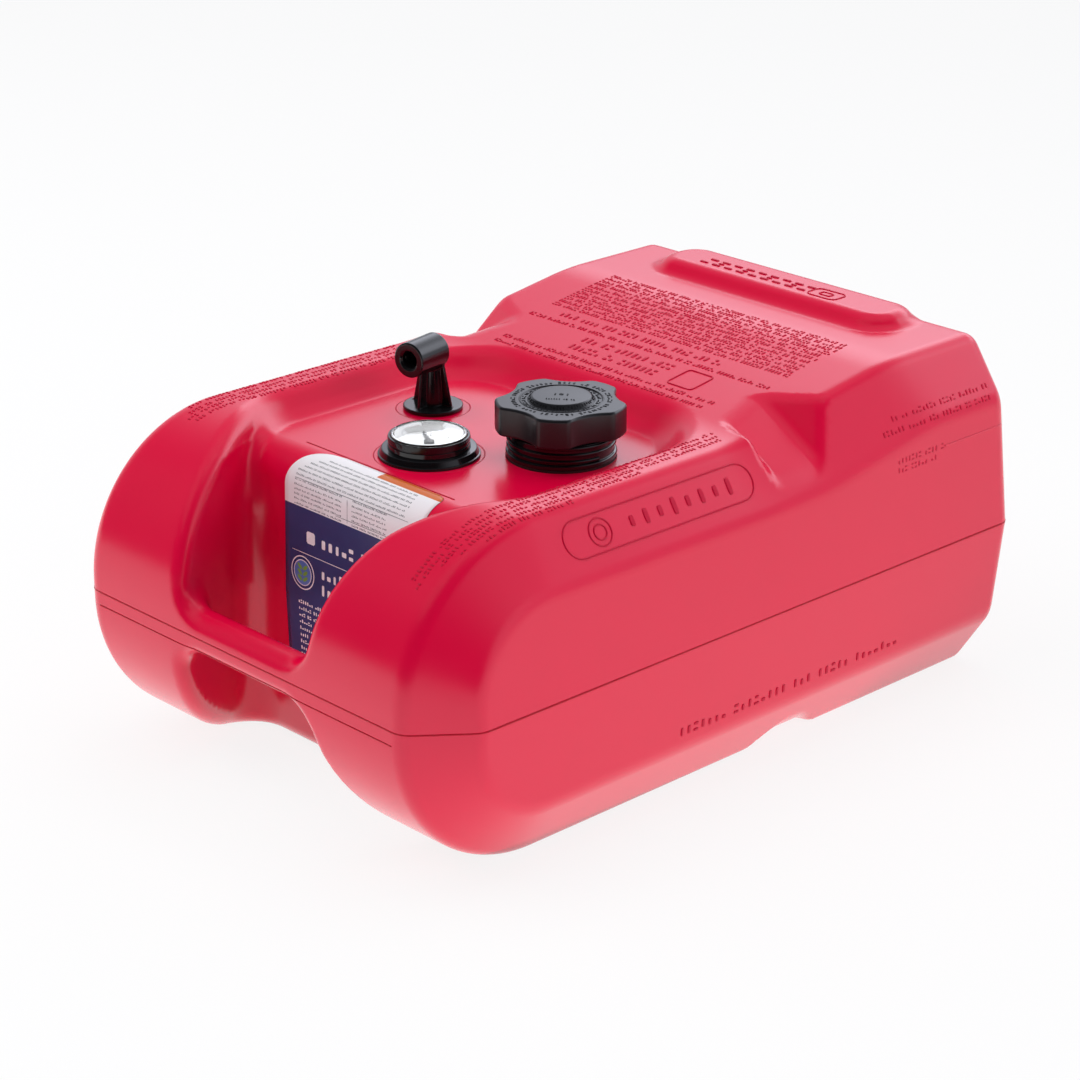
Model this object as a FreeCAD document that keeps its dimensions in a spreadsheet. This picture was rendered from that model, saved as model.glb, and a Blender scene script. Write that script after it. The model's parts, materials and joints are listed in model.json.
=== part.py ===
import FreeCAD, Part
import math
import os
import re

# Portable outboard fuel tank, in millimetres, +Z up.
# The origin lies under the middle of the tank, on the surface that it stands on.
# The nose with the carrying bar points to -Y. Deck fittings are drawn from their own axis at the deck's top.

DIMENSIONS = {
    # Hollow body
    "tank_width": 355.6,
    "nose_reach": 257.5,
    "rear_reach": 257.5,
    "front_height": 213.0,
    "ramp_rise": 20.5,
    "seam_height": 107.0,
    "tank_wall": 4.0,
    "band_width": 30.0,
    "nose_low_radius": 100.0,
    "nose_face_height": 12.0,
    "ramp_start": 18.0,
    "ramp_end": 157.0,
    "ramp_blend": 150.0,
    "rear_edge_radius": 10.0,
    "side_nose_reach": 220.7,
    "side_nose_face_height": 6.4,
    "side_bottom": 46.9,
    "side_front_drop": 45.7,
    "side_rear_drop": 48.7,
    "side_ramp_start": 75.0,
    "side_ramp_end": 180.0,
    "mould_draft": 0.065,
    "seam_proud": 0.5,
    "seam_thickness": 1.2,
    # Deck pocket and hand hole
    "deck_depth": 15.5,
    "pocket_half_width": 117.0,
    "pocket_rear": 31.0,
    "pocket_corner_radius": 55.0,
    "pocket_waist": 133.0,
    "pocket_slope": 4.0,
    "hole_half_width": 60.0,
    "hole_flare": 8.0,
    "hole_corner_radius": 14.0,
    "label_wall_reach": 170.0,
    "label_wall_draft": 0.03,
    "deck_edge_radius": 14.0,
    "wall_rib_radius": 7.0,
    "wall_rib_offset": 98.0,
    "wall_rib_top": 90.0,
    # Carrying bar
    "bar_depth": 23.0,
    "bar_bottom": 93.0,
    "bar_height": 26.0,
    "bar_radius": 9.0,
    # Strap notches
    "notch_inner": 117.0,
    "notch_rise": 5.0,
    "notch_front": 34.0,
    "notch_length": 41.5,
    "notch_fall": 0.6,
    "notch_front_lean": 0.3,
    "notch_rear_lean": 0.79,
    "under_notch_front": 42.0,
    "under_notch_length": 42.0,
    "under_notch_depth": 9.0,
    "under_notch_rise": 2.3,
    "under_notch_start": 20.0,
    # Rear pad
    "pad_half_width": 108.0,
    "pad_front": 195.0,
    "pad_rear": 247.0,
    "pad_height": 8.5,
    "pad_slope": 7.0,
    "pad_corner_radius": 28.0,
    "pad_rear_radius": 12.0,
    # Label
    "label_half_width": 62.0,
    "label_top": 147.0,
    "label_bottom": 36.0,
    "label_thickness": 0.3,
    "label_corner_radius": 24.0,
    # Fits
    "running_gap": 0.05,
    "slip_gap": 0.3,
    # Filler
    "filler_x": 56.4,
    "filler_y": -43.9,
    "filler_bore": 25.0,
    "neck_tube_radius": 27.5,
    "neck_core_radius": 28.4,
    "neck_thread_depth": 1.6,
    "neck_collar_radius": 32.8,
    "neck_collar_height": 16.6,
    "neck_ring_radius": 34.6,
    "neck_ring_height": 3.0,
    "neck_height": 30.0,
    "neck_drop": 16.0,
    "grip_thread_radius": 34.3,
    "grip_thread_pitch": 4.5,
    "thread_sink": 0.2,
    "filler_seal_thickness": 1.5,
    "lock_ring_height": 6.0,
    "lock_ring_width": 7.0,
    # Cap
    "cap_pitch": 6.0,
    "cap_bottom": 17.8,
    "cap_top": 36.4,
    "cap_radius": 41.1,
    "cap_chamfer": 1.2,
    "scoop_count": 5,
    "scoop_half_angle": 22.0,
    "scoop_floor_radius": 34.6,
    "lobe_angle": -51.0,
    "button_radius": 16.3,
    "button_height": 2.6,
    "button_edge_radius": 1.5,
    "cap_groove_radius": 22.8,
    "cap_groove_depth": 0.6,
    "insert_radius": 32.2,
    "insert_bottom": 19.0,
    "insert_ceiling": 1.6,
    "gasket_thickness": 2.0,
    "ratchet_thickness": 1.0,
    "ratchet_teeth": 12,
    "vent_hole_radius": 4.0,
    "vent_disc_radius": 6.5,
    "vent_disc_thickness": 1.2,
    "vent_cage_radius": 9.0,
    "vent_cage_depth": 9.0,
    "vent_cage_wall": 1.2,
    "vent_wire_radius": 0.35,
    "vent_spring_radius": 4.2,
    "vent_spring_turns": 5,
    # Gauge
    "gauge_x": 0.0,
    "gauge_y": -103.0,
    "gauge_seal_thickness": 1.0,
    "gauge_flange_radius": 32.0,
    "gauge_flange_top": 2.8,
    "gauge_shoulder_radius": 27.5,
    "gauge_shoulder_top": 5.4,
    "gauge_cup_radius": 24.0,
    "gauge_cup_wall": 1.4,
    "gauge_cup_top": 12.5,
    "gauge_cup_floor": 6.0,
    "gauge_spigot_radius": 20.0,
    "gauge_spigot_drop": 12.0,
    "bezel_radius": 25.5,
    "bezel_top": 13.4,
    "bezel_groove_bottom": 8.6,
    "bezel_groove_height": 0.9,
    "bezel_groove_depth": 0.6,
    "lens_radius": 23.8,
    "lens_rim_top": 14.4,
    "lens_rise": 1.8,
    "dial_thickness": 0.8,
    "pointer_thickness": 1.2,
    "pointer_length": 17.0,
    "pointer_hub_radius": 3.2,
    "pointer_root_width": 3.2,
    "pointer_tip_width": 0.8,
    "gauge_floor_gap": 19.5,
    "gauge_shaft_radius": 1.6,
    "gauge_rod_radius": 1.6,
    "gauge_rod_offset": 10.0,
    "gauge_foot_thickness": 4.0,
    "gauge_foot_radius": 16.0,
    "strip_width": 7.0,
    "strip_thickness": 0.8,
    "strip_pin_radius": 1.2,
    "strip_pin_length": 3.0,
    "float_radius": 17.0,
    "float_height": 26.0,
    "float_bore": 5.0,
    "float_slot_plate": 2.0,
    "float_stop_gap": 2.0,
    "pointer_sweep": 120.0,
    # Pickup
    "pickup_x": -63.3,
    "pickup_y": -43.7,
    "pickup_heading": 11.0,
    "pickup_flange_radius": 19.4,
    "pickup_flange_thickness": 2.4,
    "grommet_radius": 8.0,
    "grommet_lip_radius": 13.0,
    "grommet_bead_radius": 10.5,
    "grommet_lip": 0.6,
    "pickup_spigot_radius": 5.0,
    "pickup_spigot_drop": 18.0,
    "pickup_nipple_length": 11.0,
    "pillar_foot_radius": 8.0,
    "pillar_top_radius": 5.4,
    "outlet_height": 38.7,
    "outlet_radius": 11.5,
    "outlet_reach": 25.0,
    "outlet_back": 3.6,
    "outlet_chamfer": 1.0,
    "outlet_bore": 5.65,
    "outlet_bore_depth": 14.0,
    "outlet_mouth_radius": 6.9,
    "pickup_passage": 2.2,
    "outlet_passage": 3.3,
    "gusset_thickness": 2.0,
    "gusset_foot_reach": 15.5,
    "front_gusset_reach": 12.4,
    "side_gusset_reach": 7.7,
    "retainer_radius": 11.0,
    "retainer_thickness": 1.0,
    "dip_tube_radius": 4.5,
    "dip_tube_bore": 3.2,
    "strainer_radius": 8.5,
    "strainer_height": 24.0,
    "strainer_collar": 6.0,
    "strainer_floor_gap": 2.8,
    "strainer_wall": 1.2,
    "strainer_slots": 8,
}

Y_AXIS = FreeCAD.Vector(0, 1, 0)
Z_AXIS = FreeCAD.Vector(0, 0, 1)
DECK = "(front_height - deck_depth)"  # height of the deck that the fittings stand on
SPARE = 1.0  # how far a cutting tool runs past the face that it opens
THREAD_ROOT_SHARE = 0.42  # width of a thread's ridge at its root, as a share of the pitch
THREAD_CREST_SHARE = 0.22
THREAD_RUN_OUT = 0.4  # turns left bare beside a shoulder or a rim
STRIP_STEPS = 16  # sections that carry the twist of the gauge's strip

document = FreeCAD.newDocument("FuelTank")
sheet = document.addObject("Spreadsheet::Sheet", "Dims")
for row, (alias, value) in enumerate(DIMENSIONS.items(), start=1):
    sheet.set(f"A{row}", alias)
    sheet.set(f"B{row}", str(value))
    sheet.setAlias(f"B{row}", alias)
document.recompute()


def dim(alias):
    """Value of a driving dimension."""
    return float(getattr(sheet, alias))


def bind(item, path, words):
    """Binds a property to an expression whose aliases are written as bare words."""
    item.setExpression(path, re.sub(r"[a-z][a-z_]*[a-z]", lambda word: "Dims." + word.group(0), words))


# ---------------------------------------------------------------- primitives bound to the sheet

def cylinder(radius, bottom, top, x="", y=""):
    """Upright cylinder between two heights, given as expressions."""
    item = document.addObject("Part::Cylinder", "Cylinder")
    bind(item, "Radius", radius)
    bind(item, "Height", f"({top}) - ({bottom})")
    bind(item, "Placement.Base.z", bottom)
    if x:
        bind(item, "Placement.Base.x", x)
    if y:
        bind(item, "Placement.Base.y", y)
    return item


def cone(low_radius, high_radius, bottom, top):
    """Upright cone between two heights."""
    item = document.addObject("Part::Cone", "Cone")
    bind(item, "Radius1", low_radius)
    bind(item, "Radius2", high_radius)
    bind(item, "Height", f"({top}) - ({bottom})")
    bind(item, "Placement.Base.z", bottom)
    return item


def fused(pieces, refine=True):
    """Union of several pieces; refining merges faces that continue each other."""
    item = document.addObject("Part::MultiFuse", "Union")
    item.Shapes = pieces
    item.Refine = refine
    return item


def less(base, tools):
    """Base with every tool cut away."""
    item = document.addObject("Part::Cut", "Cut")
    item.Base = base
    item.Tool = tools[0] if len(tools) == 1 else fused(tools)
    return item


def formed(shape):
    """Document object that holds a shape worked out from the sheet."""
    item = document.addObject("Part::Feature", "Form")
    item.Shape = shape
    return item


SUB_PARTS = []


def sub_part(label, item, x="", y="", base=""):
    """Names a finished piece and places it in the tank."""
    item.Label = label
    if x:
        bind(item, "Placement.Base.x", x)
        bind(item, "Placement.Base.y", y)
        bind(item, "Placement.Base.z", base)
    SUB_PARTS.append(item)


def at_filler(label, item):
    """Places a piece on the filler's axis, measured from the deck's top."""
    sub_part(label, item, "filler_x", "filler_y", DECK)


def at_gauge(label, item):
    """Places a piece on the gauge's axis, measured from the deck's top."""
    sub_part(label, item, "gauge_x", "gauge_y", DECK)


def at_pickup(label, item):
    """Places a piece on the pickup's axis, turned to the elbow's heading."""
    sub_part(label, item, "pickup_x", "pickup_y", DECK)
    item.Placement.Rotation = FreeCAD.Rotation(Z_AXIS, dim("pickup_heading"))


# ---------------------------------------------------------------- outlines

def rounded_wire(corners, to_point):
    """Closed wire through corners (u, v, radius); to_point turns a (u, v) pair into a vector."""
    ends = []
    for index, (u, v, radius) in enumerate(corners):
        before = corners[index - 1]
        after = corners[(index + 1) % len(corners)]
        back = math.atan2(before[1] - v, before[0] - u)
        ahead = math.atan2(after[1] - v, after[0] - u)
        half = abs(math.remainder(ahead - back, math.tau)) / 2
        reach = radius / math.tan(half)
        middle = back + math.remainder(ahead - back, math.tau) / 2
        crown = radius / math.sin(half) - radius
        ends.append((
            (u + reach * math.cos(back), v + reach * math.sin(back)),
            (u + crown * math.cos(middle), v + crown * math.sin(middle)),
            (u + reach * math.cos(ahead), v + reach * math.sin(ahead)),
            radius,
        ))
    edges = []
    for index, (start, crown, finish, radius) in enumerate(ends):
        if radius > 0:
            edges.append(Part.Arc(to_point(*start), to_point(*crown), to_point(*finish)).toShape())
        following = ends[(index + 1) % len(ends)][0]
        edges.append(Part.makeLine(to_point(*finish), to_point(*following)))
    return Part.Wire(edges)


def moved_inward(corners, distance):
    """Counter-clockwise outline with every side moved inward; a negative distance moves it outward."""
    sides = []
    for (u, v, _), (next_u, next_v, _) in zip(corners, corners[1:] + corners[:1]):
        length = math.hypot(next_u - u, next_v - v)
        along_u = (next_u - u) / length
        along_v = (next_v - v) / length
        sides.append((u - along_v * distance, v + along_u * distance, along_u, along_v))
    moved = []
    for index, (_, _, radius) in enumerate(corners):
        u0, v0, p, q = sides[index - 1]
        u1, v1, r, s = sides[index]
        turn = p * s - q * r
        step = ((u1 - u0) * s - (v1 - v0) * r) / turn
        new_radius = radius - math.copysign(distance, turn) if radius else 0.0
        moved.append((u0 + p * step, v0 + q * step, new_radius))
    return moved


def at_x(x):
    """Turns (y, z) into a point of the plane at x."""
    return lambda u, v: FreeCAD.Vector(x, u, v)


def at_z(z):
    """Turns (x, y) into a point of the plane at height z."""
    return lambda u, v: FreeCAD.Vector(u, v, z)


def prism(wire, direction):
    """Solid swept straight from a closed flat wire."""
    return Part.Face(wire).extrude(direction)


def ruled(wires):
    """Solid with straight rulings between matching wires."""
    return Part.makeLoft(wires, True, True)


def box_between(low, high):
    """Box from its two opposite corners."""
    return Part.makeBox(high[0] - low[0], high[1] - low[1], high[2] - low[2], FreeCAD.Vector(*low))


def mirrored(shape):
    """The shape with its mirror image across the tank's middle plane."""
    return shape.fuse(shape.mirror(FreeCAD.Vector(0, 0, 0), FreeCAD.Vector(1, 0, 0)))


# ---------------------------------------------------------------- hollow body

def deck_height():
    """Height of the deck, the floor of the pocket in the top."""
    return dim("front_height") - dim("deck_depth")


def rear_height():
    """Height of the top behind the ramp."""
    return dim("front_height") + dim("ramp_rise")


def rear_at(height):
    """Where the drafted rear face stands at a height."""
    return dim("rear_reach") - dim("mould_draft") * abs(height - dim("seam_height"))


def middle_outline():
    """Side view of the body between its creases, counter-clockwise as (y, z, radius)."""
    nose = -dim("nose_reach")
    low = dim("front_height")
    high = rear_height()
    edge = dim("rear_edge_radius")
    return [
        (nose, 0.0, dim("nose_low_radius")),
        (rear_at(0), 0.0, edge),
        (dim("rear_reach"), dim("seam_height"), 0.0),
        (rear_at(high), high, edge),
        (dim("ramp_end"), high, dim("ramp_blend")),
        (dim("ramp_start"), low, dim("ramp_blend")),
        (nose, low, low - dim("nose_face_height") - dim("nose_low_radius")),
    ]


def side_outline():
    """Side view of the body's flat flank, with the same corners as middle_outline."""
    nose = -dim("side_nose_reach")
    low = dim("side_bottom")
    front = dim("front_height") - dim("side_front_drop")
    high = rear_height() - dim("side_rear_drop")
    edge = dim("rear_edge_radius")
    round_nose = (front - low - dim("side_nose_face_height")) / 2
    return [
        (nose, low, round_nose),
        (rear_at(low), low, edge),
        (dim("rear_reach"), dim("seam_height"), 0.0),
        (rear_at(high), high, edge),
        (dim("side_ramp_end"), high, dim("ramp_blend")),
        (dim("side_ramp_start"), front, dim("ramp_blend")),
        (nose, front, round_nose),
    ]


def blank(inset):
    """Body before its hollows: a middle prism, slanted bands and drafted flanks, moved inward by inset."""
    half = dim("tank_width") / 2
    drop = dim("side_front_drop")
    slant = math.hypot(drop, dim("band_width"))
    crease = half - dim("band_width") - inset * (slant - dim("band_width")) / drop
    middle = moved_inward(middle_outline(), inset)
    side = moved_inward(side_outline(), inset * (slant - drop) / dim("band_width"))
    half -= inset
    sections = [(-half, side), (-crease, middle), (crease, middle), (half, side)]
    body = ruled([rounded_wire(outline, at_x(x)) for x, outline in sections])
    top = rear_height()
    low_half = half - dim("mould_draft") * dim("seam_height")
    high_half = half - dim("mould_draft") * (top - dim("seam_height"))
    flanks = [(-low_half, 0), (low_half, 0), (half, dim("seam_height")),
              (high_half, top), (-high_half, top), (-half, dim("seam_height"))]
    start = -dim("nose_reach") - SPARE
    wire = Part.makePolygon([FreeCAD.Vector(x, start, z) for x, z in flanks + flanks[:1]])
    envelope = prism(wire, Y_AXIS * (dim("nose_reach") + dim("rear_reach") + 2 * SPARE))
    return body.common(envelope)


def pocket_outline(narrower):
    """Plan of the deck pocket and hand hole, counter-clockwise, its walls moved inward by narrower."""
    wide = dim("pocket_half_width")
    waist = -dim("pocket_waist")
    nose = -dim("nose_reach")
    narrow = dim("hole_half_width")
    beyond = nose - 4 * dim("tank_wall")
    lean = (wide - narrow) / (waist - nose)
    tip = narrow - lean * (nose - beyond)
    corner = dim("pocket_corner_radius")
    rear = dim("pocket_rear")
    outline = [(-tip, beyond, 0.0), (tip, beyond, 0.0), (wide, waist, 0.0),
               (wide, rear, corner), (-wide, rear, corner), (-wide, waist, 0.0)]
    return moved_inward(outline, narrower)


def pocket(grow):
    """Deck pocket, open to the nose."""
    floor = deck_height() - grow
    rim = dim("front_height")
    top = rear_height() + SPARE
    spread = dim("pocket_slope") / (rim - deck_height())
    low = pocket_outline(dim("pocket_slope") - grow)
    high = pocket_outline(-spread * (top - rim) - grow)
    return ruled([rounded_wire(low, at_z(floor)), rounded_wire(high, at_z(top))])


def label_wall_at(height, grow):
    """Where the wall behind the hand hole stands at a height."""
    draft = dim("label_wall_draft") * abs(height - dim("seam_height"))
    return -dim("label_wall_reach") + draft + grow


def hand_hole(grow):
    """Hole between the bar and the label wall, flared below the parting line."""
    seam = dim("seam_height")
    corner = dim("hole_corner_radius")

    def plan(height, wider):
        outline = pocket_outline(dim("pocket_slope") - wider - grow)
        (low_x, low_y, _), (high_x, high_y, _) = outline[1], outline[2]
        back = label_wall_at(height, grow)
        half = low_x + (high_x - low_x) * (back - low_y) / (high_y - low_y)
        corners = [(-low_x, low_y, 0.0), (low_x, low_y, 0.0),
                   (half, back, corner - grow), (-half, back, corner - grow)]
        return rounded_wire(corners, at_z(height))

    top = deck_height() + SPARE
    upper = ruled([plan(seam, 0.0), plan(top, 0.0)])
    lower = ruled([plan(-SPARE, dim("hole_flare")), plan(seam, 0.0)])
    return upper.fuse(lower)


def deck_edge_waste(grow):
    """What the rounding between deck and label wall takes away."""
    radius = dim("deck_edge_radius") - grow
    deck = deck_height() - grow
    wall = label_wall_at(deck_height(), grow)
    reach = dim("pocket_half_width") - dim("hole_corner_radius")
    block = box_between((-reach, wall - SPARE, deck - radius), (reach, wall + radius, deck + SPARE))
    core = Part.makeCylinder(radius, 2 * reach, FreeCAD.Vector(-reach, wall + radius, deck - radius),
                             FreeCAD.Vector(1, 0, 0))
    return block.cut(core)


def strap_notches(grow):
    """Slanted notches in the upper edges that a strap lies in."""
    run = dim("tank_width") / 2 - dim("notch_inner") + 2 * SPARE
    tall = rear_height()
    front = dim("notch_front")
    rear = front + dim("notch_length")
    floor = dim("front_height") + dim("notch_rise")
    corners = [(front, floor, 0.0), (rear, floor, 0.0),
               (rear + dim("notch_rear_lean") * tall, floor + tall, 0.0),
               (front - dim("notch_front_lean") * tall, floor + tall, 0.0)]
    back = 2 * SPARE + grow
    wire = rounded_wire(moved_inward(corners, -grow), at_x(dim("notch_inner")))
    notch = prism(wire, FreeCAD.Vector(run + back, 0, -dim("notch_fall") * (run + back)))
    notch.translate(FreeCAD.Vector(-back, 0, dim("notch_fall") * (back - grow)))
    return mirrored(notch)


def under_notches(grow):
    """Shallow notches in the lower edges, under the strap notches."""
    crease = dim("tank_width") / 2 - dim("band_width")
    front = dim("under_notch_front")
    rear = front + dim("under_notch_length")
    depth = dim("under_notch_depth")
    corners = [(front - depth, -depth, 0.0), (rear + depth, -depth, 0.0),
               (rear, depth, 0.0), (front, dim("under_notch_rise"), 0.0)]
    back = dim("under_notch_start")
    run = dim("band_width") + back + SPARE
    wire = rounded_wire(moved_inward(corners, -grow), at_x(crease))
    notch = prism(wire, FreeCAD.Vector(run, 0, dim("notch_fall") * run))
    notch.translate(FreeCAD.Vector(-back, 0, -dim("notch_fall") * back))
    return mirrored(notch)


def bar(inset):
    """Carrying bar across the nose."""
    nose = -dim("nose_reach")
    corner = dim("bar_radius")
    rear = nose + dim("bar_depth")
    low = dim("bar_bottom")
    high = low + dim("bar_height")
    corners = [(nose, low, corner), (rear, low, corner), (rear, high, corner), (nose, high, corner)]
    half = dim("hole_half_width") + dim("hole_flare") + dim("tank_wall") + inset
    wire = rounded_wire(moved_inward(corners, inset), at_x(-half))
    return prism(wire, FreeCAD.Vector(2 * half, 0, 0))


def pad(inset):
    """Raised pad on the rear of the top."""
    half = dim("pad_half_width")
    corner = dim("pad_corner_radius")
    rear = dim("pad_rear")
    rear_corner = dim("pad_rear_radius")
    outline = [(-half, dim("pad_front"), corner), (half, dim("pad_front"), corner),
               (half, rear, rear_corner), (-half, rear, rear_corner)]
    base = rear_height() - inset
    low = moved_inward(outline, inset)
    high = moved_inward(outline, inset + dim("pad_slope"))
    foot = prism(rounded_wire(low, at_z(base)), Z_AXIS * -SPARE)
    rise = ruled([rounded_wire(low, at_z(base)), rounded_wire(high, at_z(base + dim("pad_height")))])
    return foot.fuse(rise)


def hollowed_form(inset):
    """The body's form, moved inward by inset, with its pocket, hole, notches, bar and pad."""
    form = blank(inset).fuse(pad(inset))
    for hollow in (pocket, hand_hole, deck_edge_waste, strap_notches, under_notches):
        form = form.cut(hollow(inset))
    return form.fuse(bar(inset))


def seam_rib():
    """Thin proud rib on the parting line."""
    half = dim("tank_width") / 2
    crease = half - dim("band_width")
    corners = [(-crease, -dim("nose_reach"), 0.0), (crease, -dim("nose_reach"), 0.0),
               (half, -dim("side_nose_reach"), 0.0), (half, dim("rear_reach"), 0.0),
               (-half, dim("rear_reach"), 0.0), (-half, -dim("side_nose_reach"), 0.0)]
    low = dim("seam_height") - dim("seam_thickness") / 2
    lift = Z_AXIS * dim("seam_thickness")
    outer = prism(rounded_wire(moved_inward(corners, -dim("seam_proud")), at_z(low)), lift)
    inner = prism(rounded_wire(moved_inward(corners, dim("tank_wall") / 2), at_z(low)), lift)
    return outer.cut(inner)


def wall_ribs():
    """Half-round upright ribs at both ends of the wall behind the hand hole."""
    bottom = dim("seam_height") - dim("wall_rib_top")
    wall = label_wall_at(dim("wall_rib_top"), 0.0)
    place = FreeCAD.Vector(dim("wall_rib_offset"), wall, bottom)
    return mirrored(Part.makeCylinder(dim("wall_rib_radius"), dim("wall_rib_top") - bottom, place))


def fitting_holes():
    """Holes in the deck for the filler neck, the gauge and the pickup."""
    bottom = deck_height() - dim("tank_wall") - SPARE
    height = dim("tank_wall") + 2 * SPARE
    gap = dim("running_gap")
    holes = [("filler", dim("neck_tube_radius") + gap), ("gauge", dim("gauge_spigot_radius") + gap),
             ("pickup", dim("grommet_radius") + gap)]
    tools = [Part.makeCylinder(radius, height, FreeCAD.Vector(dim(name + "_x"), dim(name + "_y"), bottom))
             for name, radius in holes]
    return tools[0].fuse(tools[1:])


def tank_shell():
    """Whole hollow body."""
    outside = hollowed_form(0.0).fuse([seam_rib(), wall_ribs().common(blank(0.0))])
    return outside.cut(hollowed_form(dim("tank_wall"))).cut(fitting_holes()).removeSplitter()


def instruction_label():
    """Thin film on the wall behind the hand hole, wrapped over the deck's edge."""
    deck = deck_height()
    seam = dim("seam_height")
    bottom = dim("label_bottom")
    radius = dim("deck_edge_radius")
    inside = dim("label_wall_reach") - 2 * dim("deck_edge_radius")
    corners = [(label_wall_at(bottom, 0), bottom, 0.0), (-inside, bottom, 0.0), (-inside, deck, 0.0),
               (label_wall_at(deck, 0), deck, radius), (label_wall_at(seam, 0), seam, 0.0)]
    half = dim("label_half_width")
    film = dim("label_thickness")
    across = FreeCAD.Vector(2 * half, 0, 0)
    backing = prism(rounded_wire(corners, at_x(-half)), across)
    covered = prism(rounded_wire(moved_inward(corners, -film), at_x(-half)), across)
    top = deck + film
    front = -dim("label_wall_reach") - SPARE
    corner = dim("label_corner_radius")
    face = [(-half, bottom, 0.0), (half, bottom, 0.0), (half, top, corner), (-half, top, corner)]
    outline = prism(rounded_wire(face, lambda u, v: FreeCAD.Vector(u, front, v)),
                    Y_AXIS * (-dim("label_top") - front))
    return covered.cut(backing).common(outline)


# ---------------------------------------------------------------- threads, springs and ribbons

def helical_ridge(root, crest, pitch, bottom, turns):
    """Thread ridge wound on a root radius; a crest inside the root makes an inner thread."""
    sink = math.copysign(dim("thread_sink"), root - crest)
    wide = pitch * THREAD_ROOT_SHARE
    narrow = pitch * THREAD_CREST_SHARE
    points = [(root + sink, -wide / 2), (crest, -narrow / 2), (crest, narrow / 2), (root + sink, wide / 2)]
    corners = [FreeCAD.Vector(radius, 0, bottom + height) for radius, height in points + points[:1]]
    helix = Part.makeHelix(pitch, pitch * turns, root)
    helix.translate(Z_AXIS * bottom)
    return Part.Wire(helix).makePipeShell([Part.makePolygon(corners)], True, True)


def coil_spring(radius, wire_radius, bottom, top, turns):
    """Open coil between two heights."""
    length = top - bottom - 2 * wire_radius
    helix = Part.makeHelix(length / turns, length, radius)
    helix.translate(Z_AXIS * (bottom + wire_radius))
    start = FreeCAD.Vector(radius, 0, bottom + wire_radius)
    section = Part.Wire(Part.makeCircle(wire_radius, start, Y_AXIS))
    return Part.Wire(helix).makePipeShell([section], True, True)


def ribbon_section(height, degrees):
    """Cross-section of the twisted strip at a height."""
    half = dim("strip_width") / 2
    thick = dim("strip_thickness") / 2
    corners = [(-half, -thick), (half, -thick), (half, thick), (-half, thick), (-half, -thick)]
    wire = Part.makePolygon([FreeCAD.Vector(x, y, height) for x, y in corners])
    wire.rotate(FreeCAD.Vector(0, 0, 0), Z_AXIS, degrees)
    return wire


# ---------------------------------------------------------------- filler and cap

def make_filler():
    """Neck, its seal and the ring that holds it under the deck."""
    collar_top = "neck_collar_height"
    solid = fused([
        cylinder("neck_tube_radius", "-neck_drop", "filler_seal_thickness"),
        cylinder("neck_ring_radius", "filler_seal_thickness", "filler_seal_thickness + neck_ring_height"),
        cylinder("neck_collar_radius", "filler_seal_thickness", collar_top),
        cylinder("neck_core_radius", collar_top, "neck_height"),
        formed(helical_ridge(dim("neck_core_radius"), dim("neck_core_radius") + dim("neck_thread_depth"),
                             dim("cap_pitch"), neck_thread_bottom(), neck_thread_turns())),
        formed(helical_ridge(dim("neck_collar_radius"), dim("grip_thread_radius"), dim("grip_thread_pitch"),
                             grip_thread_bottom(), grip_thread_turns())),
    ])
    bore = cylinder("filler_bore", "-neck_drop - 1", "neck_height + 1")
    at_filler("filler_neck", less(solid, [bore]))
    tube_way = cylinder("neck_tube_radius + running_gap", "-1", "filler_seal_thickness + 1")
    at_filler("filler_seal", less(cylinder("neck_ring_radius", "0", "filler_seal_thickness"), [tube_way]))
    at_filler("filler_lock_ring", lock_ring("neck_tube_radius"))


def lock_ring(spigot):
    """Ring that clamps a spigot from under the deck."""
    bottom = "-tank_wall - lock_ring_height"
    outer = cylinder(f"{spigot} + lock_ring_width", bottom, "-tank_wall")
    return less(outer, [cylinder(f"{spigot} + running_gap", f"{bottom} - 1", "1 - tank_wall")])


def neck_thread_bottom():
    """Height of the neck thread's first turn."""
    return dim("neck_collar_height") + dim("cap_pitch") * THREAD_RUN_OUT


def neck_thread_turns():
    """Turns of neck thread that fit under the rim."""
    return (dim("neck_height") - neck_thread_bottom()) / dim("cap_pitch") - THREAD_RUN_OUT


def grip_thread_bottom():
    """Height of the collar thread's first turn."""
    return dim("filler_seal_thickness") + dim("neck_ring_height") + dim("grip_thread_pitch") * THREAD_RUN_OUT


def grip_thread_turns():
    """Turns of outer thread that fit on the collar."""
    return (dim("neck_collar_height") - grip_thread_bottom()) / dim("grip_thread_pitch") - THREAD_RUN_OUT


def knob_form():
    """Lobed knob, cut from a disc by scoops, with a button and a ring groove on top."""
    radius = dim("cap_radius")
    bottom = dim("cap_bottom")
    height = dim("cap_top") - bottom
    half_angle = math.radians(dim("scoop_half_angle"))
    chord = radius * math.sin(half_angle)
    dip = radius * math.cos(half_angle) - dim("scoop_floor_radius")
    scoop_radius = (chord ** 2 + dip ** 2) / (2 * dip)
    disc = Part.makeCylinder(radius, height, Z_AXIS * bottom)
    rims = [edge for edge in disc.Edges if edge.Closed]
    disc = disc.makeChamfer(dim("cap_chamfer"), rims)
    spacing = 360 / dim("scoop_count")
    for index in range(int(dim("scoop_count"))):
        angle = math.radians(dim("lobe_angle") + (index + 0.5) * spacing)
        away = dim("scoop_floor_radius") + scoop_radius
        place = FreeCAD.Vector(away * math.cos(angle), away * math.sin(angle), bottom - SPARE)
        disc = disc.cut(Part.makeCylinder(scoop_radius, height + 2 * SPARE, place))
    ring = Part.makeTorus(dim("cap_groove_radius"), dim("cap_groove_depth"), Z_AXIS * dim("cap_top"))
    button = Part.makeCylinder(dim("button_radius"), dim("button_height"), Z_AXIS * dim("cap_top"))
    button = button.makeFillet(dim("button_edge_radius"), [button.Edges[0]])
    return disc.cut(ring).fuse(button)


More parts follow.
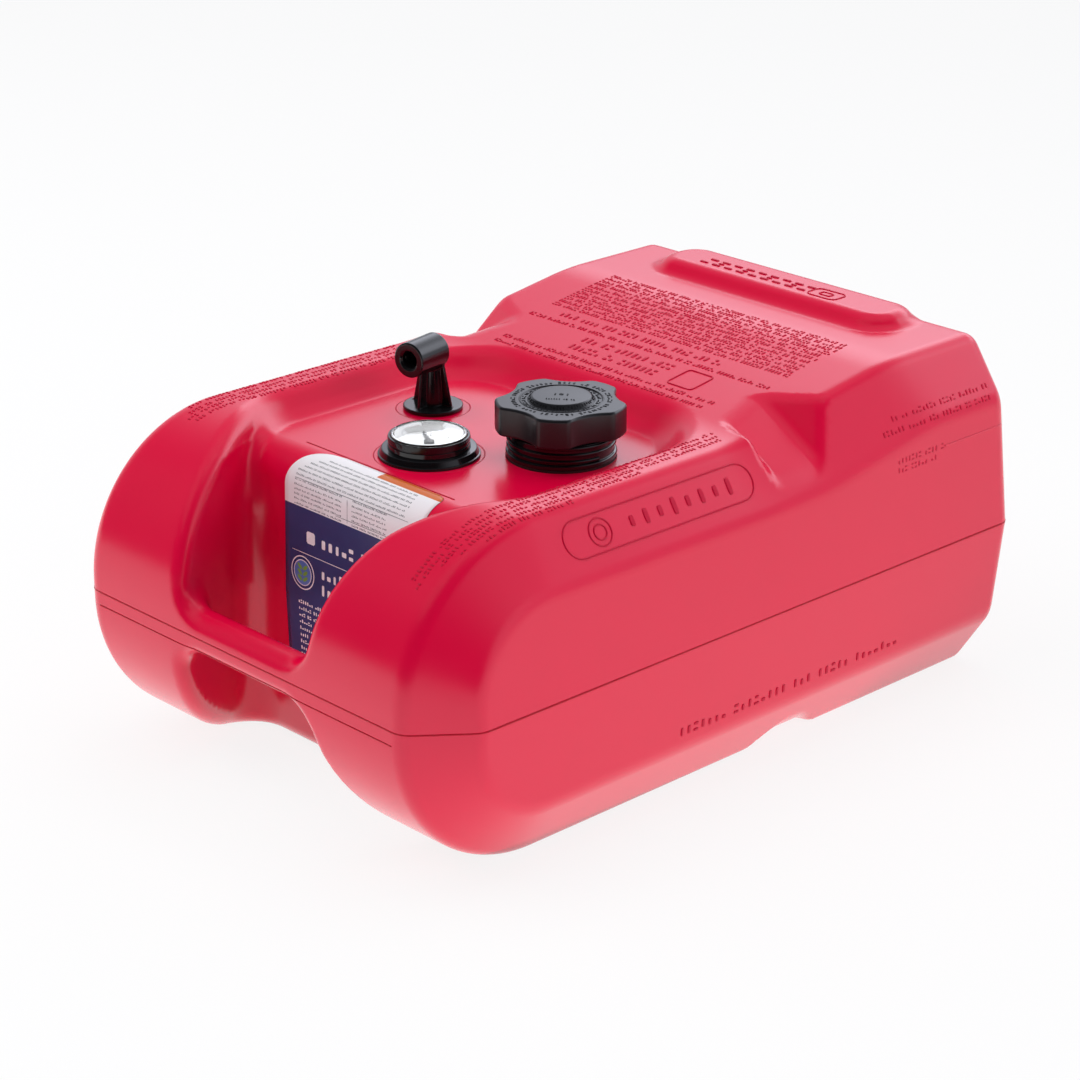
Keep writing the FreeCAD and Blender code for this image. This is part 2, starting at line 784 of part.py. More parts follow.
def make_cap():
    """Knob, threaded insert, ratchet ring and gasket."""
    ceiling = "neck_height + gasket_thickness"
    ceiling_top = f"{ceiling} + insert_ceiling"
    cavity = cylinder("insert_radius + running_gap", "cap_bottom - 1", f"{ceiling_top} + ratchet_thickness")
    at_filler("cap_knob", less(formed(knob_form()), [cavity]))

    thread_root = "neck_core_radius + neck_thread_depth + slip_gap"
    root = dim("neck_core_radius") + dim("neck_thread_depth") + dim("slip_gap")
    start = neck_thread_bottom() + dim("cap_pitch") / 2
    turns = (dim("neck_height") + dim("gasket_thickness") - start) / dim("cap_pitch") - THREAD_RUN_OUT
    ridge = helical_ridge(root, dim("neck_core_radius") + dim("slip_gap"), dim("cap_pitch"), start, turns)
    insert = less(cylinder("insert_radius", "insert_bottom", ceiling_top),
                  [cylinder(thread_root, "insert_bottom - 1", ceiling),
                   cylinder("vent_hole_radius", ceiling, f"{ceiling_top} + 1")])
    at_filler("cap_insert", fused([insert, formed(ridge)], refine=False))

    at_filler("cap_gasket", less(cylinder("neck_core_radius", "neck_height", ceiling),
                                 [cylinder("filler_bore + slip_gap", "neck_height - 1", f"{ceiling} + 1")]))
    at_filler("cap_ratchet_ring", formed(ratchet_ring()))


def ratchet_ring():
    """Flat ring with saw teeth round its bore."""
    bottom = dim("neck_height") + dim("gasket_thickness") + dim("insert_ceiling")
    outer = dim("neck_core_radius")
    inner = dim("cap_groove_radius")
    ring = Part.makeCylinder(outer, dim("ratchet_thickness"), Z_AXIS * bottom)
    ring = ring.cut(Part.makeCylinder(inner, dim("ratchet_thickness"), Z_AXIS * bottom))
    teeth = []
    spacing = math.tau / dim("ratchet_teeth")
    for index in range(int(dim("ratchet_teeth"))):
        angle = index * spacing
        tooth = [(inner + SPARE, angle), (inner + SPARE, angle + spacing / 2), (inner - 2 * SPARE, angle)]
        corners = [FreeCAD.Vector(reach * math.cos(turn), reach * math.sin(turn), bottom)
                   for reach, turn in tooth + tooth[:1]]
        teeth.append(prism(Part.makePolygon(corners), Z_AXIS * dim("ratchet_thickness")))
    return ring.fuse(teeth).removeSplitter()


def make_vent():
    """Vacuum valve in the cap: basket, poppet and spring."""
    seat = "neck_height + gasket_thickness"
    bottom = f"{seat} - vent_cage_depth"
    cage = less(cylinder("vent_cage_radius", bottom, seat),
                [cylinder("vent_cage_radius - vent_cage_wall", f"{bottom} + vent_cage_wall", f"{seat} + 1"),
                 cylinder("vent_hole_radius / 2", f"{bottom} - 1", f"{bottom} + vent_cage_wall + 1")])
    at_filler("vent_cage", cage)
    disc = cylinder("vent_disc_radius", f"{seat} - vent_disc_thickness", seat)
    stem = cylinder("vent_hole_radius / 2", seat, f"{seat} + insert_ceiling / 2")
    at_filler("vent_disc", fused([disc, stem]))
    floor = dim("neck_height") + dim("gasket_thickness") - dim("vent_cage_depth") + dim("vent_cage_wall")
    top = dim("neck_height") + dim("gasket_thickness") - dim("vent_disc_thickness")
    turns = dim("vent_spring_turns")
    spring = coil_spring(dim("vent_spring_radius"), dim("vent_wire_radius"), floor, top, turns)
    at_filler("vent_spring", formed(spring))


# ---------------------------------------------------------------- gauge

def make_gauge_head():
    """Everything of the gauge that shows above the deck, with its seal and lock ring."""
    seal = "gauge_seal_thickness"
    cup = "gauge_cup_radius"
    inner = f"{cup} - gauge_cup_wall"
    solid = fused([
        cylinder("gauge_spigot_radius", "-gauge_spigot_drop", seal),
        cylinder("gauge_flange_radius", seal, "gauge_flange_top"),
        cone("gauge_flange_radius", "gauge_shoulder_radius", "gauge_flange_top", "gauge_shoulder_top"),
        cylinder(cup, "gauge_shoulder_top", "gauge_cup_top"),
    ])
    sockets = [cylinder("gauge_rod_radius", "-gauge_spigot_drop - 1", "-gauge_spigot_drop / 2", x=side)
               for side in ("gauge_rod_offset", "-gauge_rod_offset")]
    shaft = cylinder("gauge_shaft_radius + running_gap", "-gauge_spigot_drop - 1", "gauge_cup_floor + 1")
    cup_room = cylinder(inner, "gauge_cup_floor", "gauge_cup_top + 1")
    at_gauge("gauge_body", less(solid, [cup_room, shaft] + sockets))
    at_gauge("gauge_seal", less(cylinder("gauge_flange_radius - slip_gap", "0", seal),
                                [cylinder("gauge_spigot_radius + running_gap", "-1", f"{seal} + 1")]))
    at_gauge("gauge_lock_ring", lock_ring("gauge_spigot_radius"))

    groove_top = "bezel_groove_bottom + bezel_groove_height"
    band_inside = "bezel_radius - bezel_groove_depth"
    band = less(cylinder("bezel_radius + 1", "bezel_groove_bottom", groove_top),
                [cylinder(band_inside, "bezel_groove_bottom - 1", f"{groove_top} + 1")])
    bezel = less(cylinder("bezel_radius", "gauge_shoulder_top", "bezel_top"),
                 [cylinder(f"{cup} + running_gap", "gauge_shoulder_top - 1", "bezel_top + 1"), band])
    at_gauge("gauge_bezel", bezel)
    at_gauge("gauge_lens", formed(lens()))
    dial_top = "gauge_cup_floor + dial_thickness"
    shaft_way = cylinder("gauge_shaft_radius + slip_gap", "gauge_cup_floor - 1", f"{dial_top} + 1")
    at_gauge("gauge_dial", less(cylinder(f"{inner} - slip_gap", "gauge_cup_floor", dial_top), [shaft_way]))


def dome(radius, base, rise, rim_bottom):
    """Disc with a spherical top."""
    ball = (radius ** 2 + rise ** 2) / (2 * rise)
    sphere = Part.makeSphere(ball, Z_AXIS * (base + rise - ball))
    return Part.makeCylinder(radius, base + rise - rim_bottom, Z_AXIS * rim_bottom).common(sphere)


def lens():
    """Domed window with a thick rim."""
    seat = dim("gauge_cup_top")
    wall = dim("gauge_cup_wall")
    rim_top = dim("lens_rim_top")
    outside = dome(dim("lens_radius"), rim_top, dim("lens_rise"), seat)
    hollow = dome(dim("gauge_cup_radius") - wall, rim_top - wall, dim("lens_rise"), seat - SPARE)
    return outside.cut(hollow)


def pointer():
    """Needle with a round hub, pointing along +X before it is placed."""
    low = dim("gauge_cup_floor") + 2 * dim("dial_thickness")
    thick = dim("pointer_thickness")
    hub = Part.makeCylinder(dim("pointer_hub_radius"), thick, Z_AXIS * low)
    root = dim("pointer_root_width") / 2
    tip = dim("pointer_tip_width") / 2
    length = dim("pointer_length")
    outline = [(0, -root, 0.0), (length, -tip, 0.0), (length, tip, 0.0), (0, root, 0.0)]
    needle = prism(rounded_wire(outline, at_z(low)), Z_AXIS * thick)
    bore = Part.makeCylinder(dim("gauge_shaft_radius"), thick, Z_AXIS * low)
    return hub.fuse(needle).cut(bore)


def gauge_depth():
    """Depth of the gauge's foot below the deck's top, which leaves its gap over the ground."""
    return deck_height() - dim("gauge_floor_gap")


def float_travel():
    """Rise of the float from the foot to just below the gauge's spigot."""
    room = gauge_depth() - dim("gauge_foot_thickness") - dim("gauge_spigot_drop")
    return room - dim("float_height") - dim("float_stop_gap")


def slot_height():
    """Height of the float's slotted plate above the deck's top, with the float down."""
    float_top = dim("gauge_foot_thickness") + dim("float_height") - gauge_depth()
    return float_top - dim("float_slot_plate") / 2


def strip_angle(height):
    """Heading of the twisted strip at a height, with the float down."""
    return (height - slot_height()) * dim("pointer_sweep") / float_travel()


def gauge_strip():
    """Twisted strip with its lower pin and its upper shaft."""
    bottom = dim("gauge_foot_thickness") + dim("slip_gap") - gauge_depth()
    top = -dim("gauge_spigot_drop") - dim("slip_gap")
    heights = [bottom + (top - bottom) * step / STRIP_STEPS for step in range(STRIP_STEPS + 1)]
    ribbon = Part.makeLoft([ribbon_section(height, strip_angle(height)) for height in heights], True, False)
    pin_bottom = bottom - dim("strip_pin_length")
    pin = Part.makeCylinder(dim("strip_pin_radius"), dim("strip_pin_length") + SPARE, Z_AXIS * pin_bottom)
    shaft_top = dim("gauge_cup_floor") + 2 * dim("dial_thickness") + dim("pointer_thickness")
    shaft = Part.makeCylinder(dim("gauge_shaft_radius"), shaft_top - top + SPARE, Z_AXIS * (top - SPARE))
    return ribbon.fuse([pin, shaft])


def gauge_float():
    """Float with clear bores for the rods and the strip, and a slotted plate at its top."""
    bottom = dim("gauge_foot_thickness") - gauge_depth()
    height = dim("float_height")
    plate = dim("float_slot_plate")
    body = Part.makeCylinder(dim("float_radius"), height, Z_AXIS * bottom)
    tools = [Part.makeCylinder(dim("float_bore"), height - plate, Z_AXIS * bottom)]
    for side in (-1, 1):
        place = FreeCAD.Vector(side * dim("gauge_rod_offset"), 0, bottom)
        tools.append(Part.makeCylinder(dim("gauge_rod_radius") + dim("slip_gap"), height, place))
    gap = dim("slip_gap")
    wide = dim("strip_width") / 2 + gap
    thick = dim("strip_thickness") / 2 + gap
    top = bottom + height
    slot = box_between((-wide, -thick, top - plate - SPARE), (wide, thick, top + SPARE))
    slot.rotate(FreeCAD.Vector(0, 0, 0), Z_AXIS, strip_angle(slot_height()))
    return body.cut(tools + [slot])


def make_gauge_stem():
    """Rods, foot, strip, pointer and float."""
    foot_bottom = f"gauge_floor_gap - {DECK}"
    foot_top = f"{foot_bottom} + gauge_foot_thickness"
    rod_bottom = f"{foot_top} - gauge_foot_thickness / 2"
    sockets = []
    for name, side in (("gauge_rod_right", "gauge_rod_offset"), ("gauge_rod_left", "-gauge_rod_offset")):
        rod = cylinder("gauge_rod_radius", rod_bottom, "-gauge_spigot_drop / 2", x=side)
        at_gauge(name, fused([rod, cylinder("gauge_rod_radius", foot_top, "-gauge_spigot_drop", x=side)]))
        sockets.append(cylinder("gauge_rod_radius", rod_bottom, f"{foot_top} + 1", x=side))
    pin_hole = cylinder("strip_pin_radius + running_gap", f"{foot_bottom} - 1", f"{foot_top} + 1")
    foot = cylinder("gauge_foot_radius", foot_bottom, foot_top)
    at_gauge("gauge_foot", less(foot, sockets + [pin_hole]))
    at_gauge("gauge_strip", formed(gauge_strip()))
    at_gauge("gauge_float", formed(gauge_float()))
    needle = pointer()
    needle.rotate(FreeCAD.Vector(0, 0, 0), Z_AXIS, 90 + dim("pointer_sweep") / 2)
    at_gauge("gauge_pointer", formed(needle))


# ---------------------------------------------------------------- pickup

def gusset(foot_reach, top_reach):
    """Upright web from the pillar's axis out to a slanted edge, along -Y."""
    low = dim("grommet_lip") + dim("pickup_flange_thickness") - SPARE
    high = dim("outlet_height") - dim("outlet_radius") / 2
    half = dim("gusset_thickness") / 2
    corners = [(0, low, 0.0), (-foot_reach, low, 0.0), (-foot_reach, low + SPARE, 0.0),
               (-top_reach, high, 0.0), (0, high, 0.0)]
    return prism(rounded_wire(corners, at_x(-half)), FreeCAD.Vector(2 * half, 0, 0))


def elbow():
    """Flange, ribbed pillar, spigot and horizontal outlet, heading along -Y."""
    lip = dim("grommet_lip")
    flange_top = lip + dim("pickup_flange_thickness")
    centre = dim("outlet_height")
    length = dim("outlet_reach") + dim("outlet_back")
    mouth = FreeCAD.Vector(0, -dim("outlet_reach"), centre)
    barrel = Part.makeCylinder(dim("outlet_radius"), length, mouth, Y_AXIS)
    barrel = barrel.makeChamfer(dim("outlet_chamfer"), [edge for edge in barrel.Edges if edge.Closed])
    foot_radius = dim("pillar_foot_radius")
    pieces = [
        Part.makeCylinder(dim("pickup_flange_radius"), dim("pickup_flange_thickness"), Z_AXIS * lip),
        Part.makeCone(foot_radius, dim("pillar_top_radius"), centre - flange_top, Z_AXIS * flange_top),
        Part.makeCylinder(dim("pickup_spigot_radius"), dim("pickup_spigot_drop") + lip,
                          Z_AXIS * -dim("pickup_spigot_drop")),
        Part.makeCylinder(dim("dip_tube_bore"), dim("pickup_nipple_length") + SPARE,
                          Z_AXIS * -(dim("pickup_spigot_drop") + dim("pickup_nipple_length"))),
    ]
    side = dim("side_gusset_reach")
    for heading, top in ((0, dim("front_gusset_reach")), (90, side), (180, dim("outlet_back")), (270, side)):
        web = gusset(dim("gusset_foot_reach"), top)
        web.rotate(FreeCAD.Vector(0, 0, 0), Z_AXIS, heading)
        pieces.append(web)
    bore = dim("outlet_bore")
    depth = dim("outlet_bore_depth")
    flare = dim("outlet_mouth_radius") - bore
    bottom = -dim("pickup_spigot_drop") - dim("pickup_nipple_length") - SPARE
    holes = [
        Part.makeCylinder(bore, depth, mouth, Y_AXIS),
        Part.makeCone(dim("outlet_mouth_radius"), bore, flare, mouth, Y_AXIS),
        Part.makeCylinder(dim("outlet_passage"), dim("outlet_reach"), mouth, Y_AXIS),
        Part.makeCylinder(dim("pickup_passage"), centre - bottom, Z_AXIS * bottom),
    ]
    return barrel.fuse(pieces).cut(holes).removeSplitter()


def strainer():
    """Slotted basket on the end of the dip tube."""
    bottom = dim("tank_wall") + dim("strainer_floor_gap") - deck_height()
    height = dim("strainer_height")
    wall = dim("strainer_wall")
    radius = dim("strainer_radius")
    collar = dim("strainer_collar")
    body = Part.makeCylinder(radius, height, Z_AXIS * bottom)
    tools = [Part.makeCylinder(radius - wall, height - collar - wall, Z_AXIS * (bottom + wall)),
             Part.makeCylinder(dim("dip_tube_radius"), collar + SPARE, Z_AXIS * (bottom + height - collar))]
    width = math.pi * radius / dim("strainer_slots")
    for index in range(int(dim("strainer_slots"))):
        slot = Part.makeBox(radius + SPARE, width, height - collar - 3 * wall,
                            FreeCAD.Vector(radius / 2, -width / 2, bottom + 2 * wall))
        slot.rotate(FreeCAD.Vector(0, 0, 0), Z_AXIS, index * 360 / dim("strainer_slots"))
        tools.append(slot)
    return body.cut(tools)


def make_pickup():
    """Swivelling elbow, grommet, retainer, dip tube and strainer."""
    at_pickup("pickup_elbow", formed(elbow()))
    washer_top = "-tank_wall - grommet_lip"
    grommet = fused([cylinder("grommet_lip_radius", "0", "grommet_lip"),
                     cylinder("grommet_radius", "-tank_wall", "0"),
                     cylinder("grommet_bead_radius", washer_top, "-tank_wall")])
    bore = cylinder("pickup_spigot_radius + running_gap", f"{washer_top} - 1", "grommet_lip + 1")
    at_pickup("pickup_grommet", less(grommet, [bore]))
    washer_bottom = f"{washer_top} - retainer_thickness"
    washer_bore = cylinder("pickup_spigot_radius", f"{washer_bottom} - 1", f"{washer_top} + 1")
    at_pickup("pickup_retainer", less(cylinder("retainer_radius", washer_bottom, washer_top), [washer_bore]))
    tube_bottom = f"tank_wall + strainer_floor_gap + strainer_height - strainer_collar - {DECK}"
    tube = less(cylinder("dip_tube_radius", tube_bottom, "-pickup_spigot_drop"),
                [cylinder("dip_tube_bore", f"{tube_bottom} - 1", "1 - pickup_spigot_drop")])
    at_pickup("pickup_tube", tube)
    at_pickup("pickup_strainer", formed(strainer()))


# ---------------------------------------------------------------- assembly

def check_and_write():
    """Stops on any failed object or bad shape, then writes one file per sub-part."""
    document.recompute()
    for item in document.Objects:
        if "Invalid" in item.State or "Error" in item.State:
            raise RuntimeError(f"{item.Label} failed: {item.State}")
    for item in SUB_PARTS:
        if item.Shape.isNull() or not item.Shape.isValid():
            raise RuntimeError(f"{item.Label} has a bad shape")
        if len(item.Shape.Solids) != 1:
            raise RuntimeError(f"{item.Label} has {len(item.Shape.Solids)} solids")
    os.makedirs("parts", exist_ok=True)
    for item in SUB_PARTS:
        item.Shape.exportStep(f"parts/{item.Label}.step")


sub_part("tank_shell", formed(tank_shell()))
sub_part("instruction_label", formed(instruction_label()))
make_filler()
make_cap()
make_vent()
make_gauge_head()
make_gauge_stem()
make_pickup()
check_and_write()
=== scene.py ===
"""Dressed model of a portable outboard fuel tank, built round its packed construction model.

Lengths are in metres in the construction model's own frame: +Z up, the nose with the carrying bar
towards -Y, the origin on the ground under the middle of the tank.
"""
import json
import logging
import math
from collections.abc import Callable, Sequence
from dataclasses import dataclass, field
from enum import Enum

import bpy
import numpy as np
from mathutils import Matrix, Vector


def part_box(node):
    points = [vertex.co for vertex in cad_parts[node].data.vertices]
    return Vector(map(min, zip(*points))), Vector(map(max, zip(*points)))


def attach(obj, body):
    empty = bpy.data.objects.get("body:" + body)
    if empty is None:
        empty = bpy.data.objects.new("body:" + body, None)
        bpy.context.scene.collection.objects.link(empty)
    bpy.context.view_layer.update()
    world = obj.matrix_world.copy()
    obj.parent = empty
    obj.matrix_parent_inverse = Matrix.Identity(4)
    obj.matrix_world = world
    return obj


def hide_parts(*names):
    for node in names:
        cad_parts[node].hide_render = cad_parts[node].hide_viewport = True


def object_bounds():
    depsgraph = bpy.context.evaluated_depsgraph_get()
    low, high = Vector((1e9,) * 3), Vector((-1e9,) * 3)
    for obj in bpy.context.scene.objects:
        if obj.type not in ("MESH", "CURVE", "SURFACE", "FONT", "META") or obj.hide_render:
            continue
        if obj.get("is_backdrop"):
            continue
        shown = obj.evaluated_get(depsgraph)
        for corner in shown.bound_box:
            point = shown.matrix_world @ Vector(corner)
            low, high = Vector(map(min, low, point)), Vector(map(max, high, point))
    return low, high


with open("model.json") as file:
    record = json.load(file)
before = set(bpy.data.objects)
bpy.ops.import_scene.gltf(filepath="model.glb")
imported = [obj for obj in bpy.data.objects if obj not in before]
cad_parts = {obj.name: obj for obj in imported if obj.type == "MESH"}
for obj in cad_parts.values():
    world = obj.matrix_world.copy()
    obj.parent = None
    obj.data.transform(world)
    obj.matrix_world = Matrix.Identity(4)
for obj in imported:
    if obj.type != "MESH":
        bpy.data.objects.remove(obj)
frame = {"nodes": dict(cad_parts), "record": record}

LOG = logging.getLogger("fuel_tank")
TURN = 2 * math.pi
# Radius of an edge that is drawn as sharp.
SHARP = 0.00005
# Sides of a bead's section, and points in one turn of a thread.
BEAD_SIDES = 8
THREAD_STEPS = 64
# Settling: least squared slope to divide by, and how many cells a corner may move from its own.
LEAST_SLOPE = 0.05
CELL_REACH = 1.2
# Rays: how many steps they take, and the share of the distance that is left in each.
TRACE_STEPS = 80
TRACE_SHARE = 0.7
# Where rays start: at this height above the ground, or this far to the right of the middle.
SKY = 0.29
BESIDE = 0.3
UP = (0.0, 0.0, 1.0)
DOWN = (0.0, 0.0, -1.0)
EAST = np.array((1.0, 0.0, 0.0))
Array = np.ndarray
Field = Callable[[Array, Array, Array], Array]
Pair = tuple[float, float]
Triple = tuple[float, float, float]
Rows = tuple[tuple[float, ...], ...]
Profile = Sequence[Triple]
Piece = bpy.types.Object
Material = bpy.types.Material
Socket = bpy.types.NodeSocket


# ------------------------------------------------------------------ distance fields

def rounded_max(first: Array, second: Array, radius: float) -> Array:
    """Common part of two fields, with a round edge where they cross squarely.

    Args:
        first: Distances to one form, negative inside.
        second: Distances to the other form.
        radius: Radius of the edge.

    Returns:
        Distances to the common part.
    """
    corner = np.hypot(np.maximum(first + radius, 0.0), np.maximum(second + radius, 0.0))
    return np.minimum(np.maximum(first, second), -radius) + corner


def rounded_min(first: Array, second: Array, radius: float) -> Array:
    """Union of two fields with a fillet of that radius where they meet squarely."""
    return -rounded_max(-first, -second, radius)


def eased_max(first: Array, second: Array, depth: float) -> Array:
    """Common part of two fields whose shallow edge loses depth at its crest.

    Args:
        first: Distances to one form, negative inside.
        second: Distances to the other form.
        depth: How much the crest loses.

    Returns:
        Distances to the common part.
    """
    reach = 4 * depth
    near = np.maximum(reach - np.abs(first - second), 0.0)
    return np.maximum(first, second) + near * near / (4 * reach)


def eased_min(first: Array, second: Array, depth: float) -> Array:
    """Union of two fields whose shallow valley gains depth."""
    return -eased_max(-first, -second, depth)


def eased_step(share: Array) -> Array:
    """Smooth rise from 0 to 1 as the share goes from 0 to 1."""
    share = np.clip(share, 0.0, 1.0)
    return share * share * (3 - 2 * share)


def slope_of(form: Field, points: Array, step: float = 2e-4) -> Array:
    """Gradient of a field at some points, by central differences.

    Args:
        form: The field.
        points: Where the gradient is taken.
        step: Half the span of a difference.

    Returns:
        One gradient for each point.
    """
    columns = []
    for axis in range(3):
        shift = np.zeros(3)
        shift[axis] = step
        ahead, behind = points + shift, points - shift
        columns.append((form(*ahead.T) - form(*behind.T)) / (2 * step))
    return np.stack(columns, axis=1)


def unit(vectors: Array) -> Array:
    """Vectors scaled to a length of one."""
    return vectors / np.linalg.norm(vectors, axis=-1, keepdims=True)


def normal_at(form: Field, point: Array) -> Array:
    """Unit normal of a field's surface at one point."""
    return unit(slope_of(form, point[None]))[0]


def settle(form: Field, points: Array, rounds: int = 2) -> Array:
    """Moves points onto the surface of a field.

    Args:
        form: The field.
        points: Places near the surface.
        rounds: How many Newton steps are taken.

    Returns:
        The moved points.
    """
    for _ in range(rounds):
        slope = slope_of(form, points)
        steep = np.maximum((slope * slope).sum(axis=1), LEAST_SLOPE)
        points = points - slope * (form(*points.T) / steep)[:, None]
    return points


def surface_net(form: Field, stations: Sequence[Array], rounds: int = 3) -> tuple[Array, Array]:
    """Quads on the surface of a field, one corner in each grid cell that the surface crosses.

    Args:
        form: The field, negative inside.
        stations: Grid positions along X, Y and Z.
        rounds: How often the corners are evened out and settled on the surface.

    Returns:
        Corner positions and quads, which face outwards.
    """
    inside = form(*np.meshgrid(*stations, indexing="ij")) < 0
    count = np.zeros([len(s) - 1 for s in stations], int)
    for corner in range(8):
        low = [(corner >> axis) & 1 for axis in range(3)]
        count += inside[tuple(slice(a, a - 1 or None) for a in low)]
    cells = np.argwhere((count > 0) & (count < 8))
    number = np.full(count.shape, -1)
    number[tuple(cells.T)] = np.arange(len(cells))
    middles = [(s[1:] + s[:-1]) / 2 for s in stations]
    points = np.stack([middles[axis][cells[:, axis]] for axis in range(3)], axis=1)
    quads = []
    for axis in range(3):
        after, last = (axis + 1) % 3, (axis + 2) % 3
        low = np.take(inside, range(inside.shape[axis] - 1), axis)
        high = np.take(inside, range(1, inside.shape[axis]), axis)
        for faces_up in (True, False):
            crossed = np.argwhere((low & ~high) if faces_up else (high & ~low))
            fits = (crossed[:, after] > 0) & (crossed[:, last] > 0)
            fits &= (crossed[:, after] < count.shape[after]) & (crossed[:, last] < count.shape[last])
            crossed = crossed[fits]
            ring = []
            for step_after, step_last in ((1, 1), (0, 1), (0, 0), (1, 0)):
                cell = crossed.copy()
                cell[:, after] -= step_after
                cell[:, last] -= step_last
                ring.append(number[tuple(cell.T)])
            quads.append(np.stack(ring if faces_up else ring[::-1], axis=1))
    quads = np.concatenate(quads)
    ends = np.concatenate([quads[:, [a, (a + 1) % 4]] for a in range(4)])
    degree = np.bincount(ends[:, 0], minlength=len(points)).astype(float)
    spread = np.stack([np.diff(s)[cells[:, axis]] for axis, s in enumerate(stations)], axis=1)
    lowest, highest = points - spread * CELL_REACH, points + spread * CELL_REACH
    for _ in range(rounds):
        mean = np.stack([np.bincount(ends[:, 0], points[ends[:, 1], axis], len(points))
                         for axis in range(3)], axis=1) / degree[:, None]
        points = np.clip(settle(form, (points + mean) / 2, 1), lowest, highest)
    return np.clip(settle(form, points), lowest, highest), quads


def stations(low: float, high: float, coarse: float, fine: float,
             spans: Sequence[Pair]) -> Array:
    """Grid positions from low to high, fine inside the spans and coarse elsewhere.

    Args:
        low: First position.
        high: Position that the last one reaches.
        coarse: Step outside the spans.
        fine: Step inside the spans.
        spans: Stretches with small features.

    Returns:
        The positions.
    """
    places = [low]
    while places[-1] < high:
        here = places[-1]
        detailed = any(start <= here + coarse and here <= end for start, end in spans)
        places.append(here + (fine if detailed else coarse))
    return np.array(places)


def linked(name: str, data: bpy.types.ID) -> Piece:
    """New object of a mesh, a lamp or a camera, in the scene.

    Args:
        name: Name of the object.
        data: Its mesh, lamp or camera.

    Returns:
        The object.
    """
    piece = bpy.data.objects.new(name, data)
    bpy.context.scene.collection.objects.link(piece)
    return piece


def evaluated(piece: Piece, name: str) -> bpy.types.Mesh:
    """Mesh of an object with its modifiers applied.

    Args:
        piece: Object with modifiers.
        name: Name of the new mesh.

    Returns:
        The mesh.
    """
    mesh = bpy.data.meshes.new_from_object(piece.evaluated_get(bpy.context.evaluated_depsgraph_get()))
    mesh.name = name
    return mesh


def mesh_object(name: str, points: Array, faces: Array | Sequence[Sequence[int]],
                normals: Array | None = None) -> Piece:
    """New smooth-shaded mesh object in the scene.

    Args:
        name: Name of the object and of its mesh.
        points: Corner positions.
        faces: Corner numbers of each face, counter-clockwise from outside.
        normals: Shading normal at each corner position, if it is known.

    Returns:
        The object.
    """
    mesh = bpy.data.meshes.new(name)
    mesh.from_pydata(np.asarray(points).tolist(), [], [list(map(int, face)) for face in faces])
    mesh.shade_smooth()
    if normals is not None:
        mesh.normals_split_custom_set_from_vertices(normals.tolist())
    return linked(name, mesh)


def dressed(piece: Piece, body: str, slot: str, *stands_for: str) -> Piece:
    """Lets a finished piece ride on a body and hides what it stands for.

    Args:
        piece: Finished mesh object.
        body: Body that it moves with.
        slot: Material slot in the record; not used.
        stands_for: Construction nodes that it replaces.

    Returns:
        The same piece.
    """
    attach(piece, body)
    if stands_for:
        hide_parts(*stands_for)
    LOG.info("%s: %d faces on %s", piece.name, len(piece.data.polygons), body)
    return piece


# ------------------------------------------------------------------ turned forms

def ray(angle: float | Array) -> Array:
    """Level unit vector at each angle from +X."""
    return np.stack([np.cos(angle), np.sin(angle), 0 * angle], axis=-1)


def rounded_profile(corners: Profile, steps: int = 4) -> tuple[Array, Array]:
    """Points and outward normals along a profile with rounded corners.

    Args:
        corners: (u, v, radius) of each corner, with the solid on the left of the path.
        steps: Spans in each rounding.

    Returns:
        Points (u, v) and unit normals.
    """
    places = np.array([corner[:2] for corner in corners], float)
    points, normals = [], []
    for index, (_, _, radius) in enumerate(corners):
        here = places[index]
        ways = []
        for other in (index - 1, index + 1):
            if 0 <= other < len(corners):
                way = places[other] - here
                ways.append(way / np.hypot(*way))
        if len(ways) == 1:
            way = ways[0] if index == 0 else -ways[0]
            points.append(here)
            normals.append((way[1], -way[0]))
            continue
        back, ahead = ways
        bend = math.pi - math.acos(max(-1.0, min(1.0, float(back @ ahead))))
        if bend < 1e-4:
            points.append(here)
            normals.append((ahead[1], -ahead[0]))
            continue
        left = (-back[0]) * ahead[1] - (-back[1]) * ahead[0] > 0
        radius = max(radius, SHARP)
        reach = radius * math.tan(bend / 2)
        first = np.array((back[1], -back[0])) * (1 if left else -1)
        centre = here + back * reach + first * radius
        start = math.atan2(*(-first)[::-1])
        spans = steps if radius > 2 * SHARP else 1
        for step in range(spans + 1):
            angle = start + (bend if left else -bend) * step / spans
            out = ray(angle)[:2]
            points.append(centre + out * radius)
            normals.append(out if left else -out)
    return np.array(points), np.array(normals)


def round_outline(angles: Array, radius: float) -> tuple[Array, Array]:
    """Circle of a turned form: its points and outward normals."""
    out = ray(angles)[:, :2]
    return out * radius, out


